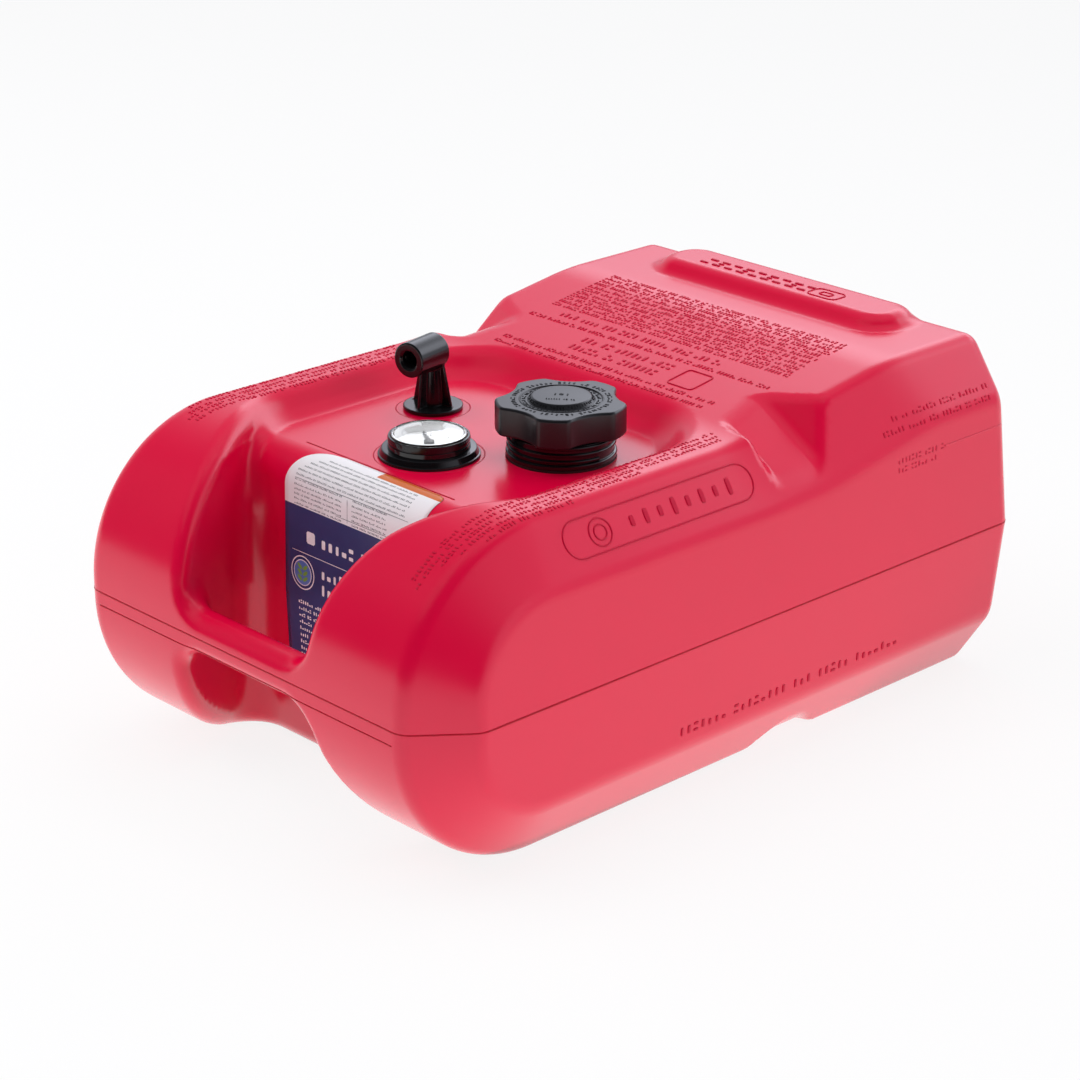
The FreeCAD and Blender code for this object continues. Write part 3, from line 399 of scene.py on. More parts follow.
def turned(name: str, corners: Profile, segments: int = 128,
           outline: Callable[[Array, float], tuple[Array, Array]] = round_outline,
           steps: int = 4) -> Piece:
    """Closed form turned round the Z axis.

    Args:
        name: Name of the object.
        corners: (radius, height, rounding) along a closed profile; it may start and end on the axis.
        segments: Faces round the axis.
        outline: Gives a ring's points and normals from the angles and the profile's radius.
        steps: Spans in each rounding.

    Returns:
        The object, with its axis at the origin.
    """
    whole = [*corners, corners[0]] if corners[0][0] > 0 else list(corners)
    profile, facing = rounded_profile(whole, steps)
    closed = corners[0][0] > 0
    if closed:
        profile, facing = profile[1:], facing[1:]
        facing[-1] = facing[-2]
    angles = np.arange(segments) / segments * TURN
    points, normals, faces, rows = [], [], [], []
    for (radius, height), (outward, upward) in zip(profile, facing):
        first = sum(map(len, points))
        if radius < SHARP:
            points.append(np.array([(0.0, 0.0, height)]))
            normals.append(np.array([(0.0, 0.0, math.copysign(1.0, upward))]))
            rows.append([first] * segments)
            continue
        ring, out = outline(angles, radius)
        points.append(np.column_stack([ring, np.full(segments, height)]))
        normals.append(np.column_stack([out * outward, np.full(segments, upward)]))
        rows.append(list(range(first, first + segments)))
    for low, high in zip(rows, rows[1:] + rows[:1] if closed else rows[1:]):
        for a in range(segments):
            ahead = (a + 1) % segments
            faces.append(tuple(dict.fromkeys((low[a], low[ahead], high[ahead], high[a]))))
    return mesh_object(name, np.concatenate(points), faces, np.concatenate(normals))


def placed(piece: Piece, place: Vector, turn: float = 0.0) -> Piece:
    """Turns a mesh's points about the upright axis and moves them; the object stays at the origin."""
    piece.data.transform(Matrix.Translation(place) @ Matrix.Rotation(turn, 4, "Z"))
    return piece


# ------------------------------------------------------------------ node trees

class Graph:
    """Node tree under construction."""

    def __init__(self, tree: bpy.types.NodeTree) -> None:
        """Wraps an empty tree."""
        self.tree = tree

    def node(self, kind: str, inputs: dict | None = None, **settings: object) -> bpy.types.Node:
        """Adds a node.

        Args:
            kind: Blender's name of the node's type.
            inputs: Values or output sockets for its inputs, by name or number.
            settings: Values of its own properties.

        Returns:
            The node.
        """
        node = self.tree.nodes.new(kind)
        for name, value in settings.items():
            setattr(node, name, value)
        for key, value in (inputs or {}).items():
            socket = node.inputs[key]
            if isinstance(value, Socket):
                self.tree.links.new(value, socket)
            else:
                socket.default_value = value
        return node

    def math(self, operation: str, first: Socket | float, second: Socket | float) -> Socket:
        """Result of a math node."""
        return self.node("ShaderNodeMath", {0: first, 1: second}, operation=operation).outputs[0]

    def vector(self, operation: str, first: Socket, second: Sequence[float] = (0, 0, 0)) -> Socket:
        """Result of a vector math node, which is a number for a length or a dot product."""
        node = self.node("ShaderNodeVectorMath", {0: first, 1: second}, operation=operation)
        return node.outputs["Value" if operation in ("LENGTH", "DOT_PRODUCT") else "Vector"]

    def ramp(self, value: Socket, start: float, end: float, low: float = 0.0,
             high: float = 1.0) -> Socket:
        """Smooth change from low to high while the value goes from start to end.

        Args:
            value: Input.
            start: Value at which the change starts.
            end: Value at which it ends.
            low: Result up to the start.
            high: Result from the end on.

        Returns:
            Socket of the result.
        """
        return self.node("ShaderNodeMapRange", {
            "Value": value, "From Min": start, "From Max": end, "To Min": low, "To Max": high},
            interpolation_type="SMOOTHSTEP").outputs[0]


def fresh_graph(owner: bpy.types.ID) -> Graph:
    """Empty node tree of a material or a world.

    Args:
        owner: Material or world that the tree belongs to.

    Returns:
        The tree.
    """
    owner.use_nodes = True
    owner.node_tree.nodes.clear()
    return Graph(owner.node_tree)


class Tree(Enum):
    """Geometry node trees that the pieces share."""

    STAMPS = "stamps_on_points"
    BEADS = "beads_along_lines"
    THREAD = "screw_thread"


SOCKETS = {
    Tree.STAMPS: {"Stamp": "NodeSocketObject"},
    Tree.BEADS: {"Bead radius": "NodeSocketFloat"},
    Tree.THREAD: {"Turns": "NodeSocketFloat", "Radius": "NodeSocketFloat", "Rise": "NodeSocketFloat",
                  "Ridge radius": "NodeSocketFloat"},
}


def start_tree(kind: Tree) -> tuple[Graph, bpy.types.Node]:
    """New tree with its named sockets, and the node that holds its inputs.

    Args:
        kind: Which tree it is.

    Returns:
        The tree, and the node that holds its inputs.
    """
    tree = bpy.data.node_groups.new(kind.value, "GeometryNodeTree")
    tree.interface.new_socket("Geometry", in_out="INPUT", socket_type="NodeSocketGeometry")
    for name, form in SOCKETS[kind].items():
        tree.interface.new_socket(name, in_out="INPUT", socket_type=form)
    tree.interface.new_socket("Finish", in_out="INPUT", socket_type="NodeSocketMaterial")
    tree.interface.new_socket("Geometry", in_out="OUTPUT", socket_type="NodeSocketGeometry")
    graph = Graph(tree)
    return graph, graph.node("NodeGroupInput")


def end_tree(graph: Graph, start: bpy.types.Node, shape: Socket) -> bpy.types.NodeTree:
    """Ends a tree: smooth faces, real geometry and its finish.

    Args:
        graph: The tree.
        start: Node that holds its inputs.
        shape: Geometry so far.

    Returns:
        The finished node group.
    """
    smooth = graph.node("GeometryNodeSetShadeSmooth", {"Geometry": shape})
    real = graph.node("GeometryNodeRealizeInstances", {"Geometry": smooth.outputs[0]})
    paint = {"Geometry": real.outputs[0], "Material": start.outputs["Finish"]}
    finished = graph.node("GeometryNodeSetMaterial", paint)
    graph.node("NodeGroupOutput", {"Geometry": finished.outputs[0]})
    return graph.tree


def stamps_tree() -> bpy.types.NodeTree:
    """Puts a stamp on each point, turned and scaled by the point's own attributes.

    Returns:
        The finished node group.
    """
    graph, start = start_tree(Tree.STAMPS)
    facing, along, size = (
        graph.node("GeometryNodeInputNamedAttribute", {"Name": name},
                   data_type="FLOAT_VECTOR").outputs[0]
        for name in ("facing", "along", "size"))
    upright = graph.node("FunctionNodeAlignRotationToVector", {"Vector": facing}, axis="Z")
    heading = graph.node("FunctionNodeAlignRotationToVector",
                         {"Rotation": upright.outputs[0], "Vector": along}, axis="X", pivot_axis="Z")
    stamp = graph.node("GeometryNodeObjectInfo", {"Object": start.outputs["Stamp"]})
    copies = graph.node("GeometryNodeInstanceOnPoints", {
        "Points": start.outputs["Geometry"], "Instance": stamp.outputs["Geometry"],
        "Rotation": heading.outputs[0], "Scale": size})
    real = graph.node("GeometryNodeRealizeInstances", {"Geometry": copies.outputs[0]})
    return end_tree(graph, start, real.outputs[0])


def swept(graph: Graph, line: Socket, radius: Socket) -> Socket:
    """Round bead along a curve.

    Args:
        graph: The tree.
        line: Curve to sweep along.
        radius: Radius of the bead.

    Returns:
        Geometry of the bead.
    """
    section = graph.node("GeometryNodeCurvePrimitiveCircle",
                         {"Resolution": BEAD_SIDES, "Radius": radius})
    bead = graph.node("GeometryNodeCurveToMesh",
                      {"Curve": line, "Profile Curve": section.outputs[0], "Fill Caps": True})
    return bead.outputs[0]


def beads_tree() -> bpy.types.NodeTree:
    """Sweeps a round bead along the edges of a mesh.

    Returns:
        The finished node group.
    """
    graph, start = start_tree(Tree.BEADS)
    line = graph.node("GeometryNodeMeshToCurve", {"Mesh": start.outputs["Geometry"]})
    return end_tree(graph, start, swept(graph, line.outputs[0], start.outputs["Bead radius"]))


def thread_tree() -> bpy.types.NodeTree:
    """Right-handed thread ridge round the Z axis.

    Returns:
        The finished node group.
    """
    graph, start = start_tree(Tree.THREAD)
    spiral = graph.node("GeometryNodeCurveSpiral", {
        "Resolution": THREAD_STEPS, "Rotations": start.outputs["Turns"], "Height": start.outputs["Rise"],
        "Start Radius": start.outputs["Radius"], "End Radius": start.outputs["Radius"]})
    return end_tree(graph, start, swept(graph, spiral.outputs[0], start.outputs["Ridge radius"]))


TREE_MAKERS = {Tree.STAMPS: stamps_tree, Tree.BEADS: beads_tree, Tree.THREAD: thread_tree}


def grown(name: str, kind: Tree, base: Piece, finish: Material,
          **values: object) -> Piece:
    """Runs one of the trees on an object and returns its result as a plain mesh object.

    Args:
        name: Name of the result.
        kind: Tree to run.
        base: Object whose mesh goes in; it is removed.
        finish: Material of the result.
        values: Inputs of the tree, with underscores for spaces.

    Returns:
        The new object.
    """
    tree = bpy.data.node_groups.get(kind.value) or TREE_MAKERS[kind]()
    values = {key.replace("_", " ").capitalize(): value for key, value in values.items()}
    values["Finish"] = finish
    modifier = base.modifiers.new(kind.value, "NODES")
    modifier.node_group = tree
    for socket in tree.interface.items_tree:
        if socket.in_out == "INPUT" and socket.name in values:
            modifier[socket.identifier] = values[socket.name]
    mesh = evaluated(base, name)
    bpy.data.objects.remove(base)
    return linked(name, mesh)


def make_stamp(name: str, sides: int, crown: float) -> Piece:
    """Small closed block of unit size whose top is drawn in.

    Args:
        name: Name of the object.
        sides: Corners of its plan; 4 makes a bar with cut corners, more make a round dot.
        crown: Size of its top as a share of its foot.

    Returns:
        The object, which is removed once the marks are made.
    """
    if sides == 4:
        half, cut = 0.5, 0.36
        plan = [(half, -cut), (half, cut), (cut, half), (-cut, half),
                (-half, cut), (-half, -cut), (-cut, -half), (cut, -half)]
    else:
        plan = [ray(TURN * a / sides)[:2] * 0.5 for a in range(sides)]
    count = len(plan)
    points = [(x, y, -0.5) for x, y in plan] + [(x * crown, y * crown, 0.5) for x, y in plan]
    faces = [(a, (a + 1) % count, (a + 1) % count + count, a + count) for a in range(count)]
    faces += [tuple(range(count, 2 * count)), tuple(range(count))[::-1]]
    return mesh_object(name, np.array(points), faces)


def reached_at(path: Array) -> Array:
    """Distance along a path at which each of its points lies."""
    return np.concatenate([[0.0], np.cumsum(np.linalg.norm(np.diff(path, axis=0), axis=1))])


def points_at(path: Array, reached: Array, distances: Array) -> Array:
    """Points of a path at some distances along it."""
    return np.stack([np.interp(distances, reached, column) for column in path.T], axis=1)


class Marks:
    """Rows of small raised marks that stand for moulded or printed words, without any letters."""

    # Least and first too large number of marks in a word, and the gap after it in marks.
    WORD_LENGTHS = (2, 9)
    WORD_GAP = 0.8
    # Spread of the marks' widths, and the shares of single strokes, pairs and dots.
    WIDTHS = (0.85, 1.2)
    KIND_SHARES = (0.62, 0.2, 0.18)

    def __init__(self, seed: int) -> None:
        """Starts an empty set whose word lengths come from a seed."""
        self.chance = np.random.default_rng(seed)
        self.columns: dict[str, list[Array]] = {"place": [], "facing": [], "along": [], "size": []}

    def add(self, places: Array, facing: Array, along: Array, sizes: Array) -> None:
        """Adds marks at places, each with the way it faces, its long way and its size."""
        for key, values in zip(self.columns, (places, facing, along, sizes)):
            self.columns[key].append(np.broadcast_to(values, places.shape))

    def put(self, *columns: Sequence[float]) -> None:
        """Adds one mark: its place, the way it faces, its long way and its size."""
        self.add(*(np.reshape(np.asarray(column, float), (1, 3)) for column in columns))

    def words(self, length: float, pitch: float, fill: float) -> Array:
        """Offsets of the marks of several words along a row.

        Args:
            length: Length of the row.
            pitch: Distance between neighbouring marks.
            fill: Share of the row's length that is used.

        Returns:
            Offsets from the row's start.
        """
        offsets, here = [], pitch / 2
        while here < length * fill:
            letters = int(self.chance.integers(*self.WORD_LENGTHS))
            offsets += [here + pitch * letter for letter in range(letters)]
            here += pitch * (letters + self.WORD_GAP)
        return np.array([offset for offset in offsets if offset < length * fill])

    def row(self, path: Array, surface: Field | None, height: float, pitch: float, thick: float,
            fill: float = 1.0, bold: float = 0.45) -> None:
        """Adds a row of words.

        Args:
            path: Points of the row's middle line.
            surface: Field that the marks lie on, or None for a level top.
            height: Height of the marks across the row.
            pitch: Distance between neighbouring marks.
            thick: Thickness of a mark, half of it sunk.
            fill: Share of the row that is used.
            bold: Width of a stroke as a share of the pitch.
        """
        reached = reached_at(path)
        offsets = self.words(reached[-1], pitch, fill)
        ahead, places = (points_at(path, reached, at) for at in (offsets + pitch / 4, offsets))
        facing = np.tile(UP, (len(places), 1))
        if surface:
            places, ahead = settle(surface, places), settle(surface, ahead)
            facing = unit(slope_of(surface, places))
        along = unit(ahead - places)
        across = np.cross(facing, along)
        # Each kind: heights to choose from, width in pitches, and how far off the middle line.
        strokes = (1.0, 1.0, 0.74), bold, (0.0,)
        pairs, dots = ((0.30, 0.34), 0.70, (0.32, -0.32)), ((0.42, 0.42), 0.62, (-0.22,))
        kinds = self.chance.choice(3, len(places), p=self.KIND_SHARES)
        for kind, (tall, wide, drops) in enumerate((strokes, pairs, dots)):
            mine = kinds == kind
            for drop in drops:
                high = self.chance.choice(tall, mine.sum()) * height
                shift = drop * height + (0 if kind else (high - height) / 2)
                widths = self.chance.uniform(*self.WIDTHS, mine.sum()) * wide * pitch
                sizes = np.stack([widths, high, np.full(mine.sum(), thick)], axis=1)
                spots = places[mine] + across[mine] * np.reshape(shift, (-1, 1))
                self.add(spots, facing[mine], along[mine], sizes)

    def build(self, name: str, finish: Material, sides: int = 4, crown: float = 0.72) -> Piece:
        """Stamps all the marks in one mesh.

        Args:
            name: Name of the object.
            finish: Material of the marks.
            sides: Corners of a mark's plan.
            crown: Size of its top as a share of its foot.

        Returns:
            The object.
        """
        columns = {key: np.concatenate(values) for key, values in self.columns.items()}
        base = mesh_object(name + "_points", columns.pop("place"), [])
        for key, values in columns.items():
            attribute = base.data.attributes.new(key, "FLOAT_VECTOR", "POINT")
            attribute.data.foreach_set("vector", values.ravel())
        stamp = make_stamp(name + "_stamp", sides, crown)
        piece = grown(name, Tree.STAMPS, base, finish, stamp=stamp)
        bpy.data.objects.remove(stamp)
        piece.data.shade_flat()
        return piece


def beads(name: str, lines: Sequence[Array], radius: float, finish: Material,
          closed: bool = False) -> Piece:
    """Round beads along some lines of points, in one mesh.

    Args:
        name: Name of the object.
        lines: Points of each line.
        radius: Radius of the beads.
        finish: Their material.
        closed: Whether each line returns to its start.

    Returns:
        The object.
    """
    edges, start = [], 0
    for line in lines:
        count = len(line)
        edges += [(start + a, start + (a + 1) % count) for a in range(count if closed else count - 1)]
        start += count
    mesh = bpy.data.meshes.new(name + "_lines")
    mesh.from_pydata(np.concatenate(lines).tolist(), edges, [])
    return grown(name, Tree.BEADS, linked(mesh.name, mesh), finish, bead_radius=radius)


def thread(name: str, turns: float, radius: float, rise: float, ridge: float,
           finish: Material) -> Piece:
    """Thread ridge round the Z axis, from height zero up.

    Args:
        name: Name of the object.
        turns: Number of turns.
        radius: Radius of the ridge's middle line.
        rise: Height from start to end.
        ridge: Radius of the ridge itself.
        finish: Its material.

    Returns:
        The object.
    """
    base = mesh_object(name + "_axis", np.zeros((1, 3)), [])
    return grown(name, Tree.THREAD, base, finish, turns=turns, radius=radius, rise=rise,
                 ridge_radius=ridge)


# ------------------------------------------------------------------ finishes

@dataclass(frozen=True)
class Finish:
    """Plastic, rubber, film or metal, with the grain that its mould or its making leaves."""

    name: str
    colour: Triple
    roughness: float
    shade: float = 0.85
    cloud: float = 18.0
    grain: float = 700.0
    bump: float = 0.05
    bump_depth: float = 0.0004
    gloss_spread: float = 0.1
    metallic: float = 0.0
    transmission: float = 0.0
    specular: float = 0.5

    def material(self) -> Material:
        """Node material of the finish, made once.

        Returns:
            The material.
        """
        known = bpy.data.materials.get(self.name)
        if known:
            return known
        material = bpy.data.materials.new(self.name)
        graph = fresh_graph(material)
        where = graph.node("ShaderNodeTexCoord").outputs["Object"]
        clouds = graph.node("ShaderNodeTexNoise", {"Vector": where, "Scale": self.cloud, "Detail": 3.0})
        grain = graph.node("ShaderNodeTexNoise", {"Vector": where, "Scale": self.grain, "Detail": 2.0})
        dark = [channel * self.shade for channel in self.colour]
        colour = graph.node("ShaderNodeMix", {0: clouds.outputs[0], 6: (*dark, 1), 7: (*self.colour, 1)},
                            data_type="RGBA")
        gloss = graph.node("ShaderNodeMapRange", {
            "Value": clouds.outputs[0], "To Min": self.roughness * (1 - self.gloss_spread),
            "To Max": self.roughness * (1 + self.gloss_spread)})
        relief = graph.node("ShaderNodeBump", {
            "Strength": self.bump, "Distance": self.bump_depth, "Height": grain.outputs[0]})
        surface = graph.node("ShaderNodeBsdfPrincipled", {
            "Base Color": colour.outputs[2], "Roughness": gloss.outputs[0], "Normal": relief.outputs[0],
            "Metallic": self.metallic, "Transmission Weight": self.transmission, "IOR": 1.5,
            "Specular IOR Level": self.specular})
        graph.node("ShaderNodeOutputMaterial", {"Surface": surface.outputs[0]})
        return material


RED = Finish("moulded_red", (0.76, 0.0004, 0.044), 0.24, shade=0.95, grain=420.0, bump=0.03)
# Painted shade: a darker, less reflective red for the parting line and the deck and nose creases,
# standing in for the shade in their grooves.
RED_SEAM_SHADE = Finish("moulded_red_seam", (0.47, 0.0004, 0.018), 0.5, shade=0.9, specular=0.2)
# Painted shade: raised words, dashes and outlines are the body's red darkened and less reflective,
# standing in for the shade on their sides.
RED_MARKS_SHADE = Finish("moulded_red_marks", (0.56, 0.0003, 0.034), 0.5, shade=0.92, specular=0.25)
GLOSS = Finish("gloss_black", (0.007, 0.007, 0.008), 0.14, bump=0.004)
SATIN = Finish("satin_black", (0.012, 0.012, 0.014), 0.30, grain=600.0, bump=0.03)
ELBOW = Finish("elbow_black", (0.008, 0.008, 0.009), 0.20, grain=600.0, bump=0.02)
CAP_MARKS = Finish("marks_black", (0.005, 0.005, 0.006), 0.60)
CLEAR = Finish("clear_window", (0.97, 0.98, 0.98), 0.02, shade=1.0, transmission=1.0, bump=0.0)
DIAL = Finish("white_dial", (0.86, 0.86, 0.87), 0.35, shade=0.97)
POINTER = Finish("dark_pointer", (0.02, 0.02, 0.02), 0.35)
RUBBER = Finish("rubber_seal", (0.018, 0.018, 0.018), 0.6, bump=0.12)
ACETAL = Finish("acetal_white", (0.80, 0.80, 0.76), 0.35)
BRIGHT = Finish("metal_strip", (0.76, 0.76, 0.77), 0.22, metallic=1.0)
FOAM = Finish("foam_float", (0.06, 0.05, 0.045), 0.8, grain=900.0, bump=0.3)
SPRING = Finish("steel_spring", (0.62, 0.62, 0.63), 0.28, metallic=1.0)
FILM_WHITE = Finish("film_white", (0.90, 0.87, 0.89), 0.28, shade=0.98, bump=0.01)
FILM_NAVY = Finish("film_navy", (0.030, 0.062, 0.200), 0.26, shade=0.6, cloud=35.0, bump=0.01)
FILM_ORANGE = Finish("film_orange", (0.64, 0.13, 0.005), 0.3, shade=0.97, bump=0.01)
FILM_INK = Finish("film_ink", (0.05, 0.05, 0.07), 0.4)
FILM_BLUE = Finish("film_blue", (0.10, 0.22, 0.62), 0.3, shade=0.7, cloud=160.0, bump=0.01)
FILM_GREEN = Finish("film_green", (0.22, 0.46, 0.06), 0.3, shade=0.8, cloud=200.0, bump=0.01)

SLOT_FINISHES = {
    "tank_red": RED, "black_gloss": GLOSS, "black_satin": SATIN, "clear_lens": CLEAR, "dial_white": DIAL,
    "pointer_dark": POINTER, "label_film": FILM_NAVY, "seal_rubber": RUBBER, "white_acetal": ACETAL,
    "strip_metal": BRIGHT, "float_foam": FOAM, "spring_steel": SPRING,
}


# ------------------------------------------------------------------ hollow body

@dataclass
class SideView:
    """Outline of the body seen from the side, at the middle or at the flank."""

    nose: float
    low: float
    front_top: float
    rear_top: float
    ramp_start: float
    ramp_end: float
    nose_radius: float
    ramp_ease: float = 0.0006

    def distance(self, y: Array, z: Array) -> Array:
        """Distance to the outline, open at the rear.

        Args:
            y: Positions along the tank.
            z: Heights above the ground.

        Returns:
            Distances, negative inside.
        """
        steep = (self.rear_top - self.front_top) / (self.ramp_end - self.ramp_start)
        ramp = (z - self.front_top - steep * (y - self.ramp_start)) / math.hypot(1, steep)
        top = eased_min(z - self.front_top, ramp, self.ramp_ease)
        top = eased_max(top, z - self.rear_top, self.ramp_ease)
        nose = self.nose - y
        return np.maximum(rounded_max(top, nose, self.nose_radius),
                          rounded_max(self.low - z, nose, self.nose_radius))


@dataclass
class TankBody:
    """Hollow moulded body with its deck pocket, hand hole, carrying bar, notches and rear pad."""

    half_width: float = 0.1778
    rear: float = 0.2575
    band: float = 0.030
    seam: float = 0.107
    wall: float = 0.004
    draft: float = 0.065
    middle: SideView = field(default_factory=lambda: SideView(
        nose=-0.2575, low=0.0, front_top=0.213, rear_top=0.2335, ramp_start=0.018, ramp_end=0.157,
        nose_radius=0.1005))
    flank: SideView = field(default_factory=lambda: SideView(
        nose=-0.2207, low=0.0469, front_top=0.1673, rear_top=0.1848, ramp_start=0.075, ramp_end=0.180,
        nose_radius=0.057))
    crease_ease: float = 0.0014
    flank_ease: float = 0.0008
    rear_radius: float = 0.011
    deck: float = 0.1975
    pocket_half: float = 0.117
    pocket_rear: float = 0.031
    pocket_corner: float = 0.055
    waist: float = -0.133
    waist_ease: float = 0.0012
    pocket_slope: float = 0.004
    hole_half: float = 0.060
    hole_flare: float = 0.008
    wall_reach: float = 0.170
    wall_draft: float = 0.03
    deck_edge: float = 0.019
    foot_radius: float = 0.009
    hole_corner: float = 0.026
    corner_ease: float = 0.045
    ledge_rise: float = 0.0022
    ledge_width: float = 0.011
    ledge_ease: float = 0.008
    rim_radius: float = 0.011
    bar_depth: float = 0.023
    bar_middle: float = 0.106
    bar_half_height: float = 0.013
    bar_radius: float = 0.009
    bar_blend: float = 0.016
    notch_inner: float = 0.117
    notch_height: float = 0.218
    notch_front: float = 0.034
    notch_length: float = 0.0415
    notch_fall: float = 0.6
    notch_lean_front: float = 0.3
    notch_lean_rear: float = 0.79
    notch_radius: float = 0.004
    under_start: float = 0.042
    under_length: float = 0.042
    under_depth: float = 0.009
    pad_half: float = 0.108
    pad_front: float = 0.195
    pad_rear: float = 0.247
    pad_height: float = 0.0085
    pad_slope: float = 0.007
    pad_corner: float = 0.0238
    pad_lean: float = 0.77
    pad_crown: float = 0.004
    pad_foot: float = 0.004
    rib_radius: float = 0.007
    rib_offset: float = 0.098
    rib_low: float = 0.017
    rib_top: float = 0.1065
    # Holes of the deck: (fitting, radius).
    holes: tuple[tuple[str, float], ...] = (
        ("filler_neck", 0.02755), ("gauge_body", 0.02005), ("pickup_grommet", 0.00805))
    # Grid of the skins: its margin, its steps, its top, and the stretches with the fine step.
    margin: float = 0.006
    coarse_step: float = 0.006
    fine_steps: Triple = (0.0030, 0.0031, 0.0031)
    inner_step: float = 0.007
    mesh_top: float = 0.249
    fine_across: Rows = ((0.052, 0.2),)
    fine_along: Rows = ((-0.264, -0.11), (0.0, 0.092), (0.18, 0.262))
    fine_up: Rows = ((-0.01, 0.03), (0.085, 0.125), (0.16, 0.25))

    def blank(self, x: Array, y: Array, z: Array) -> Array:
        """Body before its hollows.

        Args:
            x: Positions across the tank.
            y: Positions along the tank.
            z: Heights above the ground.

        Returns:
            Distances, negative inside.
        """
        across = np.abs(x)
        middle = self.middle.distance(y, z)
        inward = self.flank.distance(y, z) - middle
        part = (across - self.half_width + self.band) / self.band
        band = (middle + part * inward) / np.hypot(1, inward / self.band)
        off_seam = np.abs(z - self.seam) * self.draft
        sides = eased_max(middle, band, self.crease_ease)
        sides = eased_max(sides, across - self.half_width + off_seam, self.flank_ease)
        return rounded_max(sides, y - self.rear + off_seam, self.rear_radius)

    def pad(self, x: Array, y: Array, z: Array) -> Array:
        """Raised pad on the rear of the top.

        Args:
            x: Positions across the tank.
            y: Positions along the tank.
            z: Heights above the ground.

        Returns:
            Distances, negative inside.
        """
        rise = np.maximum(z - self.middle.rear_top, 0.0)
        ends = np.maximum(self.pad_front - y, y - self.pad_rear)
        plan = rounded_max(np.abs(x) - self.pad_half, ends, self.pad_corner)
        sides = (plan + rise * self.pad_slope / self.pad_height) * self.pad_lean
        pad = rounded_max(sides, z - self.middle.rear_top - self.pad_height, self.pad_crown)
        return np.maximum(pad, self.middle.rear_top - 3 * self.pad_foot - z)

    def wall_at(self, z: Array) -> Array:
        """Where the wall behind the hand hole stands at a height."""
        return -self.wall_reach + self.wall_draft * np.abs(z - self.seam)

    def hollow(self, x: Array, y: Array, z: Array) -> Array:
        """Room of the deck pocket and the hand hole, without the carrying bar.

        Args:
            x: Positions across the tank.
            y: Positions along the tank.
            z: Heights above the ground.

        Returns:
            Distances, negative inside.
        """
        across = np.abs(x)
        lean = (self.pocket_half - self.hole_half) / (self.waist - self.middle.nose)
        taper = (across - self.pocket_half - lean * (y - self.waist)) / math.hypot(1, lean)
        plan = eased_max(across - self.pocket_half, taper, self.waist_ease)
        plan = rounded_max(plan, y - self.pocket_rear, self.pocket_corner)
        rim = self.middle.front_top
        drawn_in = self.pocket_slope * np.minimum((rim - z) / (rim - self.deck), 1.0)
        flare = self.hole_flare * np.maximum(self.seam - z, 0.0) / self.seam
        ledge = self.ledge_rise * eased_step((plan + drawn_in + self.ledge_width) / self.ledge_ease)
        above = rounded_min(self.deck + ledge - z, y - self.wall_at(z), self.deck_edge)
        lower = eased_step((self.deck - z) / self.corner_ease)
        corner = self.foot_radius + (self.hole_corner - self.foot_radius) * lower
        room = rounded_max(plan + drawn_in - flare, above, corner)
        bar = rounded_max(y - self.middle.nose - self.bar_depth,
                          np.abs(z - self.bar_middle) - self.bar_half_height, self.bar_radius)
        return rounded_max(room, -bar, self.bar_blend)

    def strap_notch(self, x: Array, y: Array, z: Array) -> Array:
        """Slanted notch in the upper edge, on both sides.

        Args:
            x: Positions across the tank.
            y: Positions along the tank.
            z: Heights above the ground.

        Returns:
            Distances, negative inside.
        """
        across = np.abs(x)
        height = z + self.notch_fall * (across - self.notch_inner) - self.notch_height
        before, behind = self.notch_lean_front, self.notch_lean_rear
        front = (self.notch_front - before * height - y) / math.hypot(1, before)
        rear = (y - self.notch_front - self.notch_length - behind * height) / math.hypot(1, behind)
        floor = -height / math.hypot(1, self.notch_fall)
        sides = np.maximum(rounded_max(front, floor, self.notch_radius),
                           rounded_max(rear, floor, self.notch_radius))
        return np.maximum(sides, self.notch_inner - self.band - across)

    def under_notch(self, x: Array, y: Array, z: Array) -> Array:
        """Shallow notch in the lower edge, under the strap notch.

        Args:
            x: Positions across the tank.
            y: Positions along the tank.
            z: Heights above the ground.

        Returns:
            Distances, negative inside.
        """
        across = np.abs(x) - self.half_width + self.band
        height = self.under_depth + self.notch_fall * across - z
        middle = self.under_start + self.under_length / 2
        ends = (np.abs(y - middle) - self.under_length / 2 - self.under_depth + z) / math.sqrt(2)
        notch = rounded_max(ends, -height / math.hypot(1, self.notch_fall), self.notch_radius)
        return np.maximum(notch, -across - self.band)

    def ribs(self, x: Array, y: Array, z: Array) -> Array:
        """Half-round upright ribs at both ends of the wall behind the hand hole."""
        round_part = np.hypot(np.abs(x) - self.rib_offset, y - self.wall_at(z)) - self.rib_radius
        return np.maximum(round_part, np.maximum(z - self.rib_top, self.rib_low - z))

    def outside(self, x: Array, y: Array, z: Array) -> Array:
        """Distance to the body's outer surface.

        Args:
            x: Positions across the tank.
            y: Positions along the tank.
            z: Heights above the ground.

        Returns:
            Distances, negative inside.
        """
        form = rounded_min(self.blank(x, y, z), self.pad(x, y, z), self.pad_foot)
        form = rounded_max(form, -self.hollow(x, y, z), self.rim_radius)
        form = rounded_min(form, self.ribs(x, y, z), self.rib_radius / 4)
        form = rounded_max(form, -self.strap_notch(x, y, z), self.notch_radius)
        return rounded_max(form, -self.under_notch(x, y, z), self.notch_radius)

    def inside(self, x: Array, y: Array, z: Array) -> Array:
        """Distance to the inner surface, which lies a wall's thickness in."""
        return self.outside(x, y, z) + self.wall

